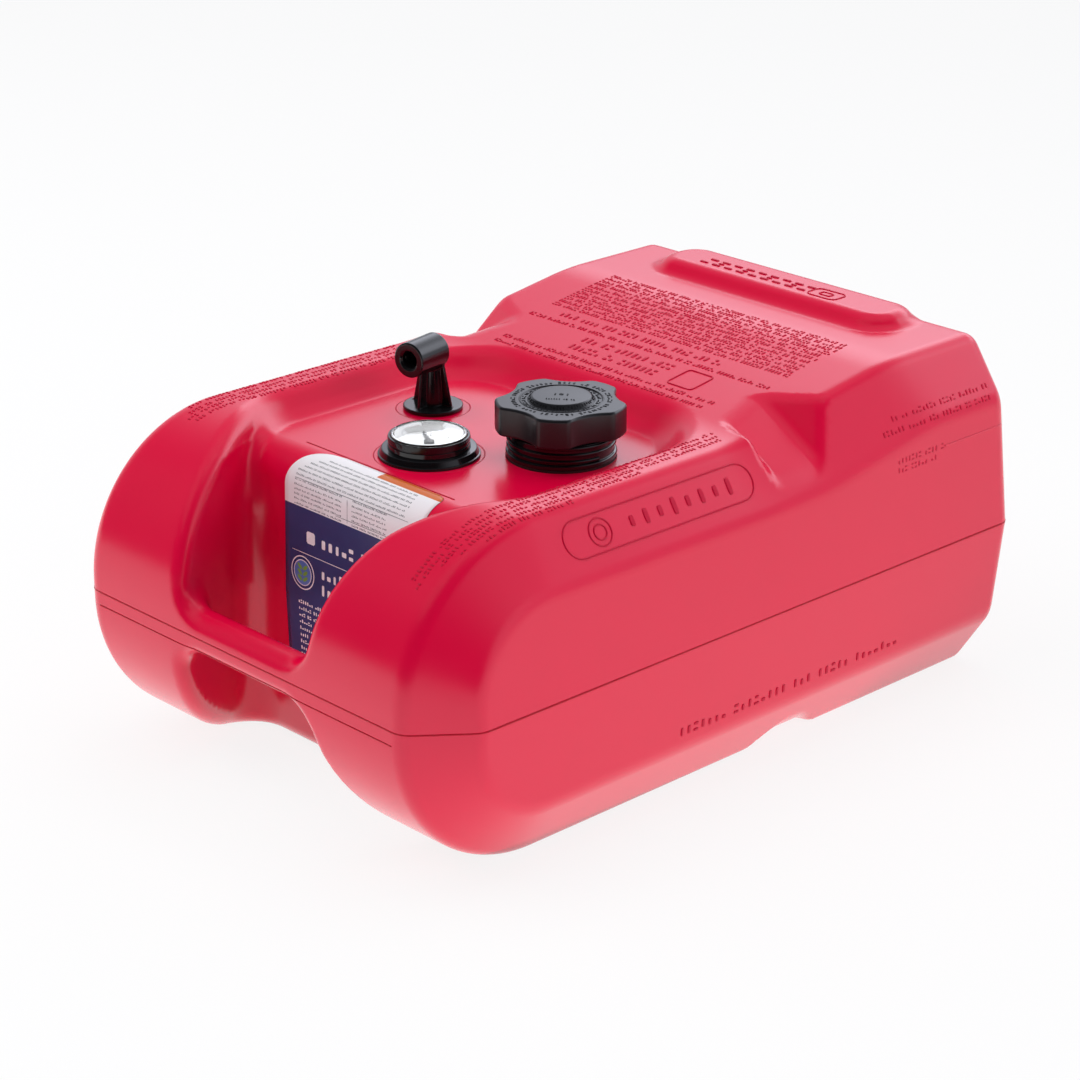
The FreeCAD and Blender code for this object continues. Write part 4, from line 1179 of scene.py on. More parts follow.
    def skins(self) -> Piece:
        """Outer and inner skin of the body in one mesh.

        Returns:
            The object, still without the holes of its deck.
        """
        margin = self.margin
        reaches = ((0.0, self.half_width + margin), (self.middle.nose - margin, self.rear + margin),
                   (-margin, self.mesh_top))
        spans = self.fine_across, self.fine_along, self.fine_up
        across, along, up = (stations(low, high, self.coarse_step, fine, span)
                             for (low, high), fine, span in zip(reaches, self.fine_steps, spans))
        grid = np.concatenate([-across[:0:-1], across]), along, up
        points, quads = surface_net(self.outside, grid)
        LOG.info("outer skin: %d quads", len(quads))
        inner = [np.arange(s[0], s[-1] + self.inner_step, self.inner_step) for s in grid]
        inner_points, inner_quads = surface_net(self.inside, inner)
        faces = np.concatenate([quads, inner_quads[:, ::-1] + len(points)])
        return mesh_object("tank_skins", np.concatenate([points, inner_points]), faces)

    def pierced(self, skins: Piece) -> Piece:
        """Body with the round holes of its deck, in which the fittings sit.

        Args:
            skins: Both skins; the object is removed.

        Returns:
            The body as one closed mesh.
        """
        cutters = []
        for node, radius in self.holes:
            cutter = turned(node + "_hole", [(0, -2 * self.wall, 0), (radius, -2 * self.wall, 0),
                                             (radius, self.wall, 0), (0, self.wall, 0)], 64)
            cutters.append(placed(cutter, foot_of(node, self.deck)))
            modifier = skins.modifiers.new(node, "BOOLEAN")
            modifier.operation, modifier.solver, modifier.object = "DIFFERENCE", "EXACT", cutter
        mesh = evaluated(skins, "tank_body")
        for spent in (skins, *cutters):
            bpy.data.objects.remove(spent)
        points = np.empty((len(mesh.vertices), 3))
        mesh.vertices.foreach_get("co", points.ravel())
        slope = unit(slope_of(self.outside, points))
        outer = self.outside(*points.T) > -self.wall / 2
        mesh.normals_split_custom_set_from_vertices(np.where(outer[:, None], slope, -slope).tolist())
        return linked(mesh.name, mesh)

    def build(self) -> None:
        """Makes the body in its finish."""
        piece = self.pierced(self.skins())
        piece.data.materials.clear()
        piece.data.materials.append(RED.material())
        dressed(piece, "tank", "tank_red", "tank_shell")


# ------------------------------------------------------------------ moulded words and lines

def trace(form: Field, starts: Array, direction: Sequence[float]) -> Array:
    """Points where rays first meet the surface of a field.

    Args:
        form: The field.
        starts: Starts of the rays, outside the form.
        direction: Unit direction of all rays, or one for each.

    Returns:
        Points on the surface.
    """
    points = np.array(starts, float)
    for _ in range(TRACE_STEPS):
        points = points + np.asarray(direction) * (form(*points.T) * TRACE_SHARE)[:, None]
    return settle(form, points, 1)


def between(first: Sequence[float], last: Sequence[float], count: int = 24) -> Array:
    """Evenly spaced points from one place to another."""
    share = np.linspace(0.0, 1.0, count)[:, None]
    return np.asarray(first, float) * (1 - share) + np.asarray(last, float) * share


def rounded_box(half_width: float, half_height: float, radius: float, steps: int = 8) -> Array:
    """Closed outline of a box with round corners, round the origin.

    Args:
        half_width: Half its width.
        half_height: Half its height.
        radius: Radius of its corners.
        steps: Spans in each corner.

    Returns:
        Points (u, v), counter-clockwise.
    """
    line = []
    for quarter, (right, up) in enumerate(((1, 1), (-1, 1), (-1, -1), (1, -1))):
        centre = np.array(((half_width - radius) * right, (half_height - radius) * up))
        for step in range(steps + 1):
            line.append(centre + radius * ray(TURN / 4 * (quarter + step / steps))[:2])
    return np.array(line)


@dataclass
class Moulding:
    """Raised words, outlines and parting lines that the mould leaves on the body; the marks and lines
    are drawn in darker reds than the body, as painted shade.
    """

    body: TankBody
    relief: float = 0.0007
    bead: float = 0.0006
    seam_bead: float = 0.0008
    seam_sink: float = 0.0005
    seam_start: float = 0.42
    seam_points: int = 480
    # Rows along the arms: (x, start, end); letters: (height, pitch).
    arm_rows: Rows = (
        (0.1245, -0.226, 0.020), (0.1300, -0.229, 0.021), (0.1355, -0.215, 0.015),
        (0.1410, -0.205, -0.060), (0.1460, -0.190, -0.120))
    left_rows: Rows = (
        (0.1245, -0.190, 0.020), (0.1300, -0.190, 0.021), (0.1355, -0.186, 0.015),
        (0.1420, -0.181, -0.007))
    arm_letter: Pair = (0.0036, 0.0028)
    # Block of rows across the ramp, and rows of their own letters: (y, start, end, height).
    ramp_half: float = 0.108
    ramp_block: Pair = (0.104, 0.166)
    ramp_block_rows: int = 11
    ramp_letter: Pair = (0.0046, 0.0027)
    large_rows: Rows = (
        (0.0965, -0.090, 0.060, 0.0068), (0.0865, -0.110, 0.110, 0.0044),
        (0.075, -0.047, 0.040, 0.0078), (0.063, -0.047, 0.036, 0.0078),
        (0.051, -0.098, 0.095, 0.0044), (0.043, -0.098, 0.095, 0.0040))
    large_pitch: float = 0.62
    # Right band: a point (x, z) of its middle, the way it faces, and its bars: (start, pitch, count).
    band_middle: Pair = (0.1585, 0.1935)
    band_facing: Pair = (0.84, 0.55)
    band_bars: tuple[float, float, int] = (-0.086, 0.0118, 8)
    band_lengths: tuple[float, ...] = (0.0078, 0.0108, 0.0078, 0.0128)
    band_stroke: Pair = (0.0042, 0.0013)
    # Rows up the band: (across, start); rows on the side: (start, end, height).
    band_rows: Rows = ((0.0045, 0.142), (-0.0035, 0.131))
    band_rows_end: float = 0.237
    side_rows: Rows = ((0.140, 0.187, 0.1765), (0.140, 0.180, 0.1705))
    side_letter: Pair = (0.0042, 0.0034)
    low_row: Triple = (-0.058, 0.150, 0.052)
    low_letter: Triple = (0.0068, 0.0062, 0.0010)
    # Dashes on the pad: (start, end, count), how far off the line, and (long, short) lengths.
    pad_line: float = 0.2175
    pad_dashes: tuple[float, float, int] = (-0.066, 0.024, 9)
    pad_drops: Triple = (0.0042, -0.0042, 0.0)
    pad_lengths: Pair = (0.0086, 0.0050)
    pad_stroke: Pair = (0.0022, 0.0014)
    # Outlines: rings round fittings, on the band (y, half width, half height, share) and from above
    # (x, y, half width, half height, corner).
    deck_rings: tuple[tuple[str, float], ...] = (("gauge_body", 0.0345), ("pickup_grommet", 0.0240))
    band_outlines: Rows = (
        (-0.112, 0.0085, 0.0085, 1.0), (-0.112, 0.0085, 0.0085, 0.55), (-0.062, 0.079, 0.0118, 1.0))
    top_outlines: Rows = (
        (0.059, 0.068, 0.011, 0.011, 0.003), (0.042, 0.2175, 0.0125, 0.0078, 0.005),
        (0.042, 0.2175, 0.0050, 0.00273, 0.002))
    # Creases: across the deck (half width, y) and the nose (half width, height), and along the side.
    deck_crease: Pair = (0.069, -0.144)
    nose_crease: Pair = (0.14, 0.098)
    side_crease: Triple = (0.187, 0.246, 0.176)

    def below(self, plan: Array) -> Array:
        """Points on the body straight under some points in plan."""
        return trace(self.body.outside, np.column_stack([plan, np.full(len(plan), SKY)]), DOWN)

    def beside(self, start: float, end: float, height: float, count: int = 24) -> Array:
        """Points on the right side, along a level line."""
        line = between((BESIDE, start, height), (BESIDE, end, height), count)
        return trace(self.body.outside, line, (-1, 0, 0))

    def on_band(self, y: float, across: float) -> Array:
        """Point on the right band, at a length along the tank and a distance across the band.

        Args:
            y: Position along the tank.
            across: Distance up the band from its middle line.

        Returns:
            The point.
        """
        (x, z), (out, up) = self.band_middle, self.band_facing
        outward = np.array((out, 0.0, up))
        start = np.array((x, y, z)) + np.array((-up, 0.0, out)) * across + outward * self.body.band
        return trace(self.body.outside, start[None], -outward)[0]

    def words(self) -> Piece:
        """Rows of words on the arms and the ramp.

        Returns:
            The object.
        """
        marks, form = Marks(7), self.body.outside
        for side, rows in ((1, self.arm_rows), (-1, self.left_rows)):
            for x, start, end in rows:
                path = self.below(between((side * x, start), (side * x, end)))
                marks.row(path[::side], form, *self.arm_letter, self.relief, bold=0.5)
        (low, high), half = self.ramp_block, self.ramp_half
        for row in range(self.ramp_block_rows):
            y = high - (high - low) * (row + 0.5) / self.ramp_block_rows
            path = self.below(between((-half, y), (half, y)))
            marks.row(path, form, *self.ramp_letter, self.relief, bold=0.55)
        for y, start, end, letter in self.large_rows:
            path = self.below(between((start, y), (end, y)))
            marks.row(path, form, letter, letter * self.large_pitch, self.relief * 1.2, bold=0.5)
        # The marks are a darker red than the body: painted shade on their sides.
        return marks.build("moulded_words", RED_MARKS_SHADE.material())

    def band_words(self) -> Piece:
        """Plain bars on the right band, small rows behind them and one row low on the side.

        Returns:
            The object.
        """
        marks, form = Marks(11), self.body.outside
        start, pitch, count = self.band_bars
        for index in range(count):
            y = start + pitch * index
            here, ahead = self.on_band(y, 0.0), self.on_band(y + 0.002, 0.0)
            facing = normal_at(form, here)
            long = self.band_lengths[index % len(self.band_lengths)]
            marks.put(here, facing, np.cross(facing, unit(ahead - here)), (long, *self.band_stroke))
        for across, start in self.band_rows:
            places = np.linspace(start, self.band_rows_end, 24)
            line = np.array([self.on_band(y, across) for y in places])
            marks.row(line, form, *self.side_letter, self.relief)
        for row in self.side_rows:
            marks.row(self.beside(*row), form, *self.side_letter, self.relief * 0.6)
        marks.row(self.beside(*self.low_row, 40), form, *self.low_letter, bold=0.36)
        # The marks are a darker red than the body: painted shade on their sides.
        return marks.build("side_words", RED_MARKS_SHADE.material())

    def pad_words(self) -> Piece:
        """Row of plain dashes on the rear pad.

        Returns:
            The object.
        """
        marks, form = Marks(13), self.body.outside
        start, end, count = self.pad_dashes
        for index in range(count):
            x = start + (end - start) * index / (count - 1)
            for drop in self.pad_drops[:2 + index % 2]:
                spot = self.below([(x + drop * 0.3, self.pad_line + drop)])[0]
                long = self.pad_lengths[0 if drop else 1]
                marks.put(spot, normal_at(form, spot), EAST, (long, *self.pad_stroke))
        # The dashes are a darker red than the body: painted shade on their sides.
        return marks.build("pad_words", RED_MARKS_SHADE.material())

    def lines(self) -> Piece:
        """Rings round two fittings, and outlines on the band, the ramp and the pad.

        Returns:
            The object.
        """
        drawn = []
        for node, radius in self.deck_rings:
            ring = rounded_box(radius, radius, radius - SHARP, 20) + foot_of(node, SKY)[:2]
            drawn.append(self.below(ring) - (0, 0, self.bead * 0.7))
        for y, half_width, half_height, share in self.band_outlines:
            outline = rounded_box(half_width, half_height, half_height - 2 * SHARP)
            drawn.append(np.array([self.on_band(y + u * share, v * share) for u, v in outline]))
        for x, y, *sizes in self.top_outlines:
            drawn.append(self.below(rounded_box(*sizes) + (x, y)))
        # The outlines are a darker red than the body: painted shade along their sides.
        return beads("moulded_outlines", drawn, self.bead, RED_MARKS_SHADE.material(), closed=True)

    def creases(self) -> list[Piece]:
        """Thin lines across the deck, on the nose and along the right side; the deck and nose lines are
        in a darker red, painted shade of the creases.

        Returns:
            Two objects: the creases, and the line on the side.
        """
        half, y = self.deck_crease
        deck = self.below(between((-half, y), (half, y)))
        half, height = self.nose_crease
        before = self.body.middle.nose - 0.1
        front = trace(self.body.outside, between((-half, before, height), (half, before, height), 60),
                      (0, 1, 0))
        # The deck and nose creases get the darker red as painted shade; the side line keeps the body's
        # red.
        return [beads("moulded_creases", [deck, front], self.bead * 0.7, RED_SEAM_SHADE.material()),
                beads("moulded_side_line", [self.beside(*self.side_crease)], self.bead, RED.material())]

    def seam(self) -> Piece:
        """Parting line of the two halves, all round the outside, in a darker red that is painted shade
        of its groove.

        Returns:
            The object.
        """
        inward = -ray(np.linspace(0, TURN, self.seam_points, endpoint=False))
        starts = (0, 0, self.body.seam) - inward * self.seam_start
        line = trace(self.body.outside, starts, inward) + inward * self.seam_sink
        # The darker red of the bead is painted shade of the groove.
        return beads("parting_line", [line], self.seam_bead, RED_SEAM_SHADE.material(), closed=True)

    def build(self) -> None:
        """Makes every moulded mark."""
        for piece in (self.words(), self.band_words(), self.pad_words(), self.lines(),
                      *self.creases(), self.seam()):
            dressed(piece, "tank", "tank_red")


# ------------------------------------------------------------------ label

@dataclass(frozen=True)
class PrintBlock:
    """Printed rows of bars under one another, in distances down and across the film."""

    down: float
    pitch: float
    lefts: tuple[float, ...]
    right: float
    letter: Pair
    fill: float = 1.0


@dataclass
class Label:
    """Film on the deck's edge and the wall under it, with printed panels, bars and a plain badge."""

    body: TankBody
    left: float = -0.062
    right: float = 0.066
    top: float = -0.1455
    bottom: float = 0.036
    left_corner: float = 0.034
    right_corner: float = 0.008
    thickness: float = 0.0003
    columns: int = 33
    rows: int = 70
    corner_rows: int = 18
    # Height of the white part, and where the orange panel starts and ends: (across, down).
    white_end: float = 0.0445
    orange: Pair = (0.008, 0.0070)
    ink: float = 0.00012
    small_print: tuple[PrintBlock, ...] = (
        PrintBlock(0.0090, 0.0031, (-0.034, -0.041, -0.046, -0.049, -0.053, -0.053), 0.052,
                   (0.0012, 0.0013), 0.97),
        PrintBlock(0.0276, 0.0031, (-0.053,) * 6, -0.006, (0.0012, 0.0013), 0.97),
        PrintBlock(0.0276, 0.0031, (0.002,) * 6, 0.036, (0.0012, 0.0013), 0.95))
    white_print: tuple[PrintBlock, ...] = (
        PrintBlock(0.0630, 0.0, (-0.028,), 0.050, (0.0080, 0.0066)),
        PrintBlock(0.0835, 0.0110, (-0.028,) * 2, 0.054, (0.0072, 0.0056)),
        PrintBlock(0.1080, 0.0046, (-0.050,) * 11, 0.054, (0.0024, 0.0021), 0.97))
    # Single marks: ((across, down), size).
    white_rules: tuple[Rows, ...] = (
        ((0.0, 0.0745), (0.110, 0.0004, 0.0001)), ((-0.037, 0.063), (0.008, 0.008, 0.0001)))
    thin_rules: tuple[Rows, ...] = (
        ((0.0, 0.0268), (0.106, 0.0003, 0.0001)), ((-0.002, 0.0355), (0.0003, 0.0150, 0.0001)),
        ((0.020, 0.0412), (0.066, 0.0003, 0.0001)))
    badge_place: Pair = (-0.045, 0.088)
    badge_rings: tuple[tuple[float, Finish], ...] = (
        (0.0112, FILM_WHITE), (0.0104, FILM_NAVY), (0.0086, FILM_WHITE), (0.0080, FILM_BLUE))
    badge_layer: float = 0.00008
    leaf: Triple = (0.0052, 0.0024, 0.0005)
    leaf_slant: float = math.radians(38)
    leaf_shift: Pair = (0.0026, 0.0038)

    def profile(self) -> tuple[Array, Array]:
        """Path (y, z) of the film from the deck down the wall, and how far along it each point is.

        Returns:
            Points (y, z), and the distance of each.
        """
        body = self.body
        corners = [(self.top, body.deck, 0.0)]
        for height, radius in ((body.deck, body.deck_edge), (body.seam, 0.002), (self.bottom, 0.0)):
            corners.append((float(body.wall_at(height)), height, radius))
        points, _ = rounded_profile(corners, 10)
        reached = reached_at(points)
        even = np.unique(np.concatenate([
            np.linspace(0, reached[-1], self.rows), reached, (self.white_end, self.orange[1]),
            np.linspace(0, self.left_corner, self.corner_rows)]))
        even = even[np.concatenate([[True], np.diff(even) > 1e-6])]
        return points_at(points, reached, even), even

    def on_film(self, across: Array, down: Array, lift: float) -> Array:
        """Points on the film, from the distance across it and down it.

        Args:
            across: Positions across the tank.
            down: Distances down the film from its upper edge.
            lift: Height above the body.

        Returns:
            The points.
        """
        form = self.body.outside
        places = settle(form, np.column_stack([across, points_at(*self.profile(), down)]))
        return places + unit(slope_of(form, places)) * lift

    def spot(self, across: float, down: float) -> Array:
        """One point on the film's face."""
        return self.on_film(np.array([across]), np.array([down]), self.thickness)[0]

    def face(self, x: Array, y: Array, z: Array) -> Array:
        """Distance to the film's face."""
        return self.body.outside(x, y, z) - self.thickness

    def film(self) -> Piece:
        """The film itself, with its panels as material regions.

        Returns:
            The object.
        """
        _, reached = self.profile()
        columns, half = self.columns, self.columns // 2
        share = np.linspace(0, 1, half + 1)[None, :]

        def drawn_in(corner: float) -> Array:
            """How far a rounded corner draws the film's edge in, at each distance down."""
            cut = np.maximum(corner - reached, 0.0)
            return corner - np.sqrt(np.maximum(corner ** 2 - cut ** 2, 0.0))

        left = (self.left + drawn_in(self.left_corner))[:, None]
        right = (self.right - drawn_in(self.right_corner))[:, None]
        split, orange_end = self.orange
        spread = np.concatenate([left + (split - left) * share[:, :-1], split + (right - split) * share],
                                axis=1)
        down = np.repeat(reached, columns)
        skins = [self.on_film(spread.ravel(), down, lift) for lift in (self.thickness, 0.0)]
        size = spread.size
        number = np.arange(size).reshape(spread.shape)
        front = np.stack([number[:-1, :-1], number[1:, :-1], number[1:, 1:], number[:-1, 1:]],
                         axis=-1).reshape(-1, 4)
        rim = np.concatenate([number[:, 0], number[-1, 1:], number[-2::-1, -1], number[0, -2:0:-1]])
        ahead = np.roll(rim, -1)
        edge = np.stack([ahead, rim, rim + size, ahead + size], axis=1)
        faces = np.concatenate([front, front[:, ::-1] + size, edge])
        middle = (reached[:-1] + reached[1:])[:, None] / 2
        tones = np.where(middle < self.white_end, 0, 1)
        tones = np.where((middle < orange_end) & (np.arange(columns - 1) >= half), 2, tones)
        kinds = [*tones.ravel().tolist(), *[1] * (len(faces) - len(front))]
        piece = mesh_object("printed_label", np.concatenate(skins), faces)
        for finish in (FILM_WHITE, FILM_NAVY, FILM_ORANGE):
            piece.data.materials.append(finish.material())
        piece.data.polygons.foreach_set("material_index", kinds)
        return piece

    def printed(self, name: str, blocks: Sequence[PrintBlock], finish: Finish, seed: int) -> Piece:
        """Printed rows of bars of some blocks, in one mesh.

        Args:
            name: Name of the object.
            blocks: What is printed.
            finish: Colour of the print.
            seed: Seed of the word lengths.

        Returns:
            The object.
        """
        marks = Marks(seed)
        for block in blocks:
            for row, left in enumerate(block.lefts):
                down = np.full(30, block.down + block.pitch * row)
                path = self.on_film(np.linspace(left, block.right, 30), down, self.thickness)
                marks.row(path, self.face, *block.letter, self.ink, fill=block.fill)
        return marks.build(name, finish.material(), crown=0.96)

    def rules(self) -> list[Piece]:
        """White rule and spot of the lower panel, and thin dark rules of the upper one.

        Returns:
            An object for each colour.
        """
        made = []
        for name, seed, rules, finish in (("label_rule", 2, self.white_rules, FILM_WHITE),
                                          ("label_thin_rules", 8, self.thin_rules, FILM_INK)):
            marks = Marks(seed)
            for place, size in rules:
                spot = self.spot(*place)
                marks.put(spot, normal_at(self.body.outside, spot), EAST, size)
            made.append(marks.build(name, finish.material(), crown=1.0))
        return made

    def badge(self) -> list[Piece]:
        """Plain round badge of rings and leaves, in blue, green and white.

        Returns:
            The rings from the lowest up, then the leaves.
        """
        centre = self.spot(*self.badge_place)
        facing = normal_at(self.body.outside, centre)
        upward = np.cross(facing, EAST)
        made = []
        for index, (radius, finish) in enumerate(self.badge_rings):
            dot = Marks(3)
            dot.put(centre, facing, EAST, (2 * radius, 2 * radius, self.badge_layer * (index + 1)))
            made.append(dot.build(f"badge_ring_{index}", finish.material(), sides=48, crown=1.0))
        leaves, (aside, apart) = Marks(4), self.leaf_shift
        for row in range(3):
            for side in (-1, 1):
                along = EAST * side * math.cos(self.leaf_slant) + upward * math.sin(self.leaf_slant)
                spot = centre + EAST * side * aside + upward * (row - 1) * apart
                leaves.put(spot, facing, along, self.leaf)
        made.append(leaves.build("badge_leaves", FILM_GREEN.material(), sides=16, crown=1.0))
        return made

    def build(self) -> None:
        """Film, its prints and the badge."""
        dressed(self.film(), "tank", "label_film", "instruction_label")
        for piece in (self.printed("label_small_print", self.small_print, FILM_INK, 5),
                      self.printed("label_white_print", self.white_print, FILM_WHITE, 6),
                      *self.rules(), *self.badge()):
            dressed(piece, "tank", "label_film")


# ------------------------------------------------------------------ filler and cap

@dataclass
class Filler:
    """Screw neck and vented cap."""

    place: Vector
    bore: float = 0.025
    tube: float = 0.0275
    flange: float = 0.0346
    flange_low: float = 0.0015
    flange_top: float = 0.0045
    collar: float = 0.0328
    collar_foot: float = 0.0048
    collar_top: float = 0.0166
    core: float = 0.0284
    top: float = 0.030
    drop: float = 0.016
    # Threads: (turns, start, rise, radius of the ridge).
    grip_thread: tuple[float, float, float, float] = (2.2, 0.0062, 0.0094, 0.0013)
    cap_thread: tuple[float, float, float, float] = (1.4, 0.0192, 0.0086, 0.0014)
    cap_radius: float = 0.0411
    cap_bottom: float = 0.0178
    cap_top: float = 0.0364
    insert_radius: float = 0.03225
    insert_top: float = 0.0346
    scoops: int = 5
    scoop_floor: float = 0.0346
    scoop_radius: float = 0.0355
    lobe_angle: float = math.radians(-51)
    edge: float = 0.0016
    groove: float = 0.0257
    step: float = 0.0004
    button_foot: float = 0.0211
    button: float = 0.0182
    button_top: float = 0.0390
    # Rings of marks on the top, on the step and on the button's side: (radius, height, pitch).
    top_marks: Triple = (0.0299, 0.0034, 0.0031)
    step_marks: Triple = (0.0234, 0.0028, 0.0021)
    side_marks: Triple = (0.0197, 0.0023, 0.0019)
    # Dot and dashes in the middle: (shift, size).
    button_marks: tuple[tuple[float, Triple], ...] = (
        (0.0, (0.0034, 0.0034, 0.0005)), (0.0038, (0.0012, 0.0040, 0.0005)),
        (-0.0038, (0.0012, 0.0040, 0.0005)))

    def neck(self) -> list[Piece]:
        """Neck with its grip ridges and the thread for the cap.

        Returns:
            The neck, then its two threads.
        """
        neck = turned("filler_neck_body", [
            (self.bore, -self.drop, 0), (self.tube, -self.drop, 0.0004), (self.tube, self.flange_low, 0),
            (self.flange, self.flange_low, 0.0006), (self.flange, self.flange_top, 0.0010),
            (self.collar, self.collar_foot, 0.0004), (self.collar, self.collar_top, 0.0008),
            (self.core, self.collar_top, 0.0004), (self.core, self.top, 0.0006),
            (self.bore, self.top, 0.0006)], 160)
        neck.data.materials.append(GLOSS.material())
        made = [neck]
        for name, radius, (turns, start, rise, ridge) in (
                ("filler_grip_thread", self.collar + 0.0001, self.grip_thread),
                ("filler_cap_thread", self.core, self.cap_thread)):
            spiral = thread(name, turns, radius, rise, ridge, GLOSS.material())
            made.append(placed(spiral, Vector((0, 0, start))))
        return made

    def rim(self, x: Array, y: Array) -> Array:
        """Distance to the knob's scalloped rim, seen from above.

        Args:
            x: Positions across the cap.
            y: Positions along the tank, from its axis.

        Returns:
            Distances, negative inside.
        """
        spacing = TURN / self.scoops
        angle = (np.arctan2(y, x) - self.lobe_angle) % spacing - spacing / 2
        reach = np.hypot(x, y)
        away = self.scoop_floor + self.scoop_radius
        scoop = self.scoop_radius - np.hypot(reach * np.cos(angle) - away, reach * np.sin(angle))
        return rounded_max(reach - self.cap_radius, scoop, self.edge)

    def lobes(self, angles: Array, radius: float) -> tuple[Array, Array]:
        """Outline of the knob at a radius of its profile: scalloped outside, round near the button.

        Args:
            angles: Angles of the ring's points.
            radius: Radius of the profile there.

        Returns:
            Points (x, y) and outward normals.
        """
        out = ray(angles)[:, :2]
        reach = np.full(len(angles), self.cap_radius)
        for _ in range(40):
            reach = reach - TRACE_SHARE * self.rim(*(out * reach[:, None]).T)
        start, end = self.groove + 0.001, self.cap_radius - 0.0035
        share = min(max((radius - start) / (end - start), 0.0), 1.0)
        ring = out * (radius - share * (self.cap_radius - reach))[:, None]
        edge = out * reach[:, None]
        slope = np.stack([self.rim(*(edge + shift).T) - self.rim(*(edge - shift).T)
                          for shift in np.eye(2) * 1e-5], axis=1)
        return ring, unit(unit(slope) * share + out * (1 - share))

    def knob(self) -> Piece:
        """Lobed knob with a button and a ring groove on its top.

        Returns:
            The object.
        """
        groove, top, radius = self.groove, self.cap_top, self.cap_radius
        across = [(reach, top, 0) for reach in np.linspace(radius - 0.0036, groove + 0.0016, 8)[1:]]
        return turned("cap_knob_shell", [
            (0, self.insert_top, 0), (self.insert_radius, self.insert_top, 0.0004),
            (self.insert_radius, self.cap_bottom, 0.0004), (radius, self.cap_bottom, 0.0012),
            (radius, top, 0.0018), *across, (groove + 0.0007, top, 0.0002),
            (groove, top + 0.0005, 0.0003), (groove - 0.0007, top - self.step, 0.0002),
            (self.button_foot, top - self.step, 0.0003), (self.button, self.button_top - 0.0003, 0.0014),
            (0, self.button_top + 0.0003, 0)], 360, self.lobes)

    def button_side(self, x: Array, y: Array, z: Array) -> Array:
        """Distance to the sloping side of the button.

        Args:
            x: Positions across the fitting.
            y: Positions along the tank, from its axis.
            z: Heights above the deck.

        Returns:
            Distances, negative inside.
        """
        run, rise = self.button_foot - self.button, self.button_top - self.cap_top + self.step
        out, up = np.hypot(x, y) - self.button_foot, z - self.cap_top + self.step
        return (out * rise + up * run) / math.hypot(run, rise)

    def marks(self) -> Piece:
        """Generic ring marks on the knob's top, and dashes and a dot on its button.

        Returns:
            The object.
        """
        marks = Marks(21)
        circle = ray(-np.linspace(0, TURN, 121))
        for (radius, *letter), lift, form in (
                (self.top_marks, 0.0, None), (self.step_marks, -self.step, None),
                (self.side_marks, 0.0010, self.button_side)):
            ring = radius * circle + (0, 0, self.cap_top + lift)
            marks.row(ring, form, *letter, 0.0005, bold=0.5)
        out = ray(self.lobe_angle)
        along = np.cross(UP, out)
        crown = np.array((0.0, 0.0, self.button_top + 0.0002))
        line = between(crown + out * 0.0085 - along * 0.009, crown + out * 0.0085 + along * 0.009)
        marks.row(line, None, 0.0013, 0.0016, 0.0004)
        for shift, size in self.button_marks:
            marks.put(crown + along * shift, UP, along, size)
        return marks.build("cap_ring_marks", CAP_MARKS.material())

    def build(self) -> None:
        """Neck on the tank, knob and marks on the cap."""
        body, *threads = self.neck()
        dressed(placed(body, self.place), "tank", "black_gloss", "filler_neck")
        for ridge in threads:
            dressed(placed(ridge, self.place), "tank", "black_gloss")
        knob = self.knob()
        knob.data.materials.append(SATIN.material())
        dressed(placed(knob, self.place), "cap", "black_satin", "cap_knob")
        dressed(placed(self.marks(), self.place), "cap", "black_satin")


# ------------------------------------------------------------------ gauge

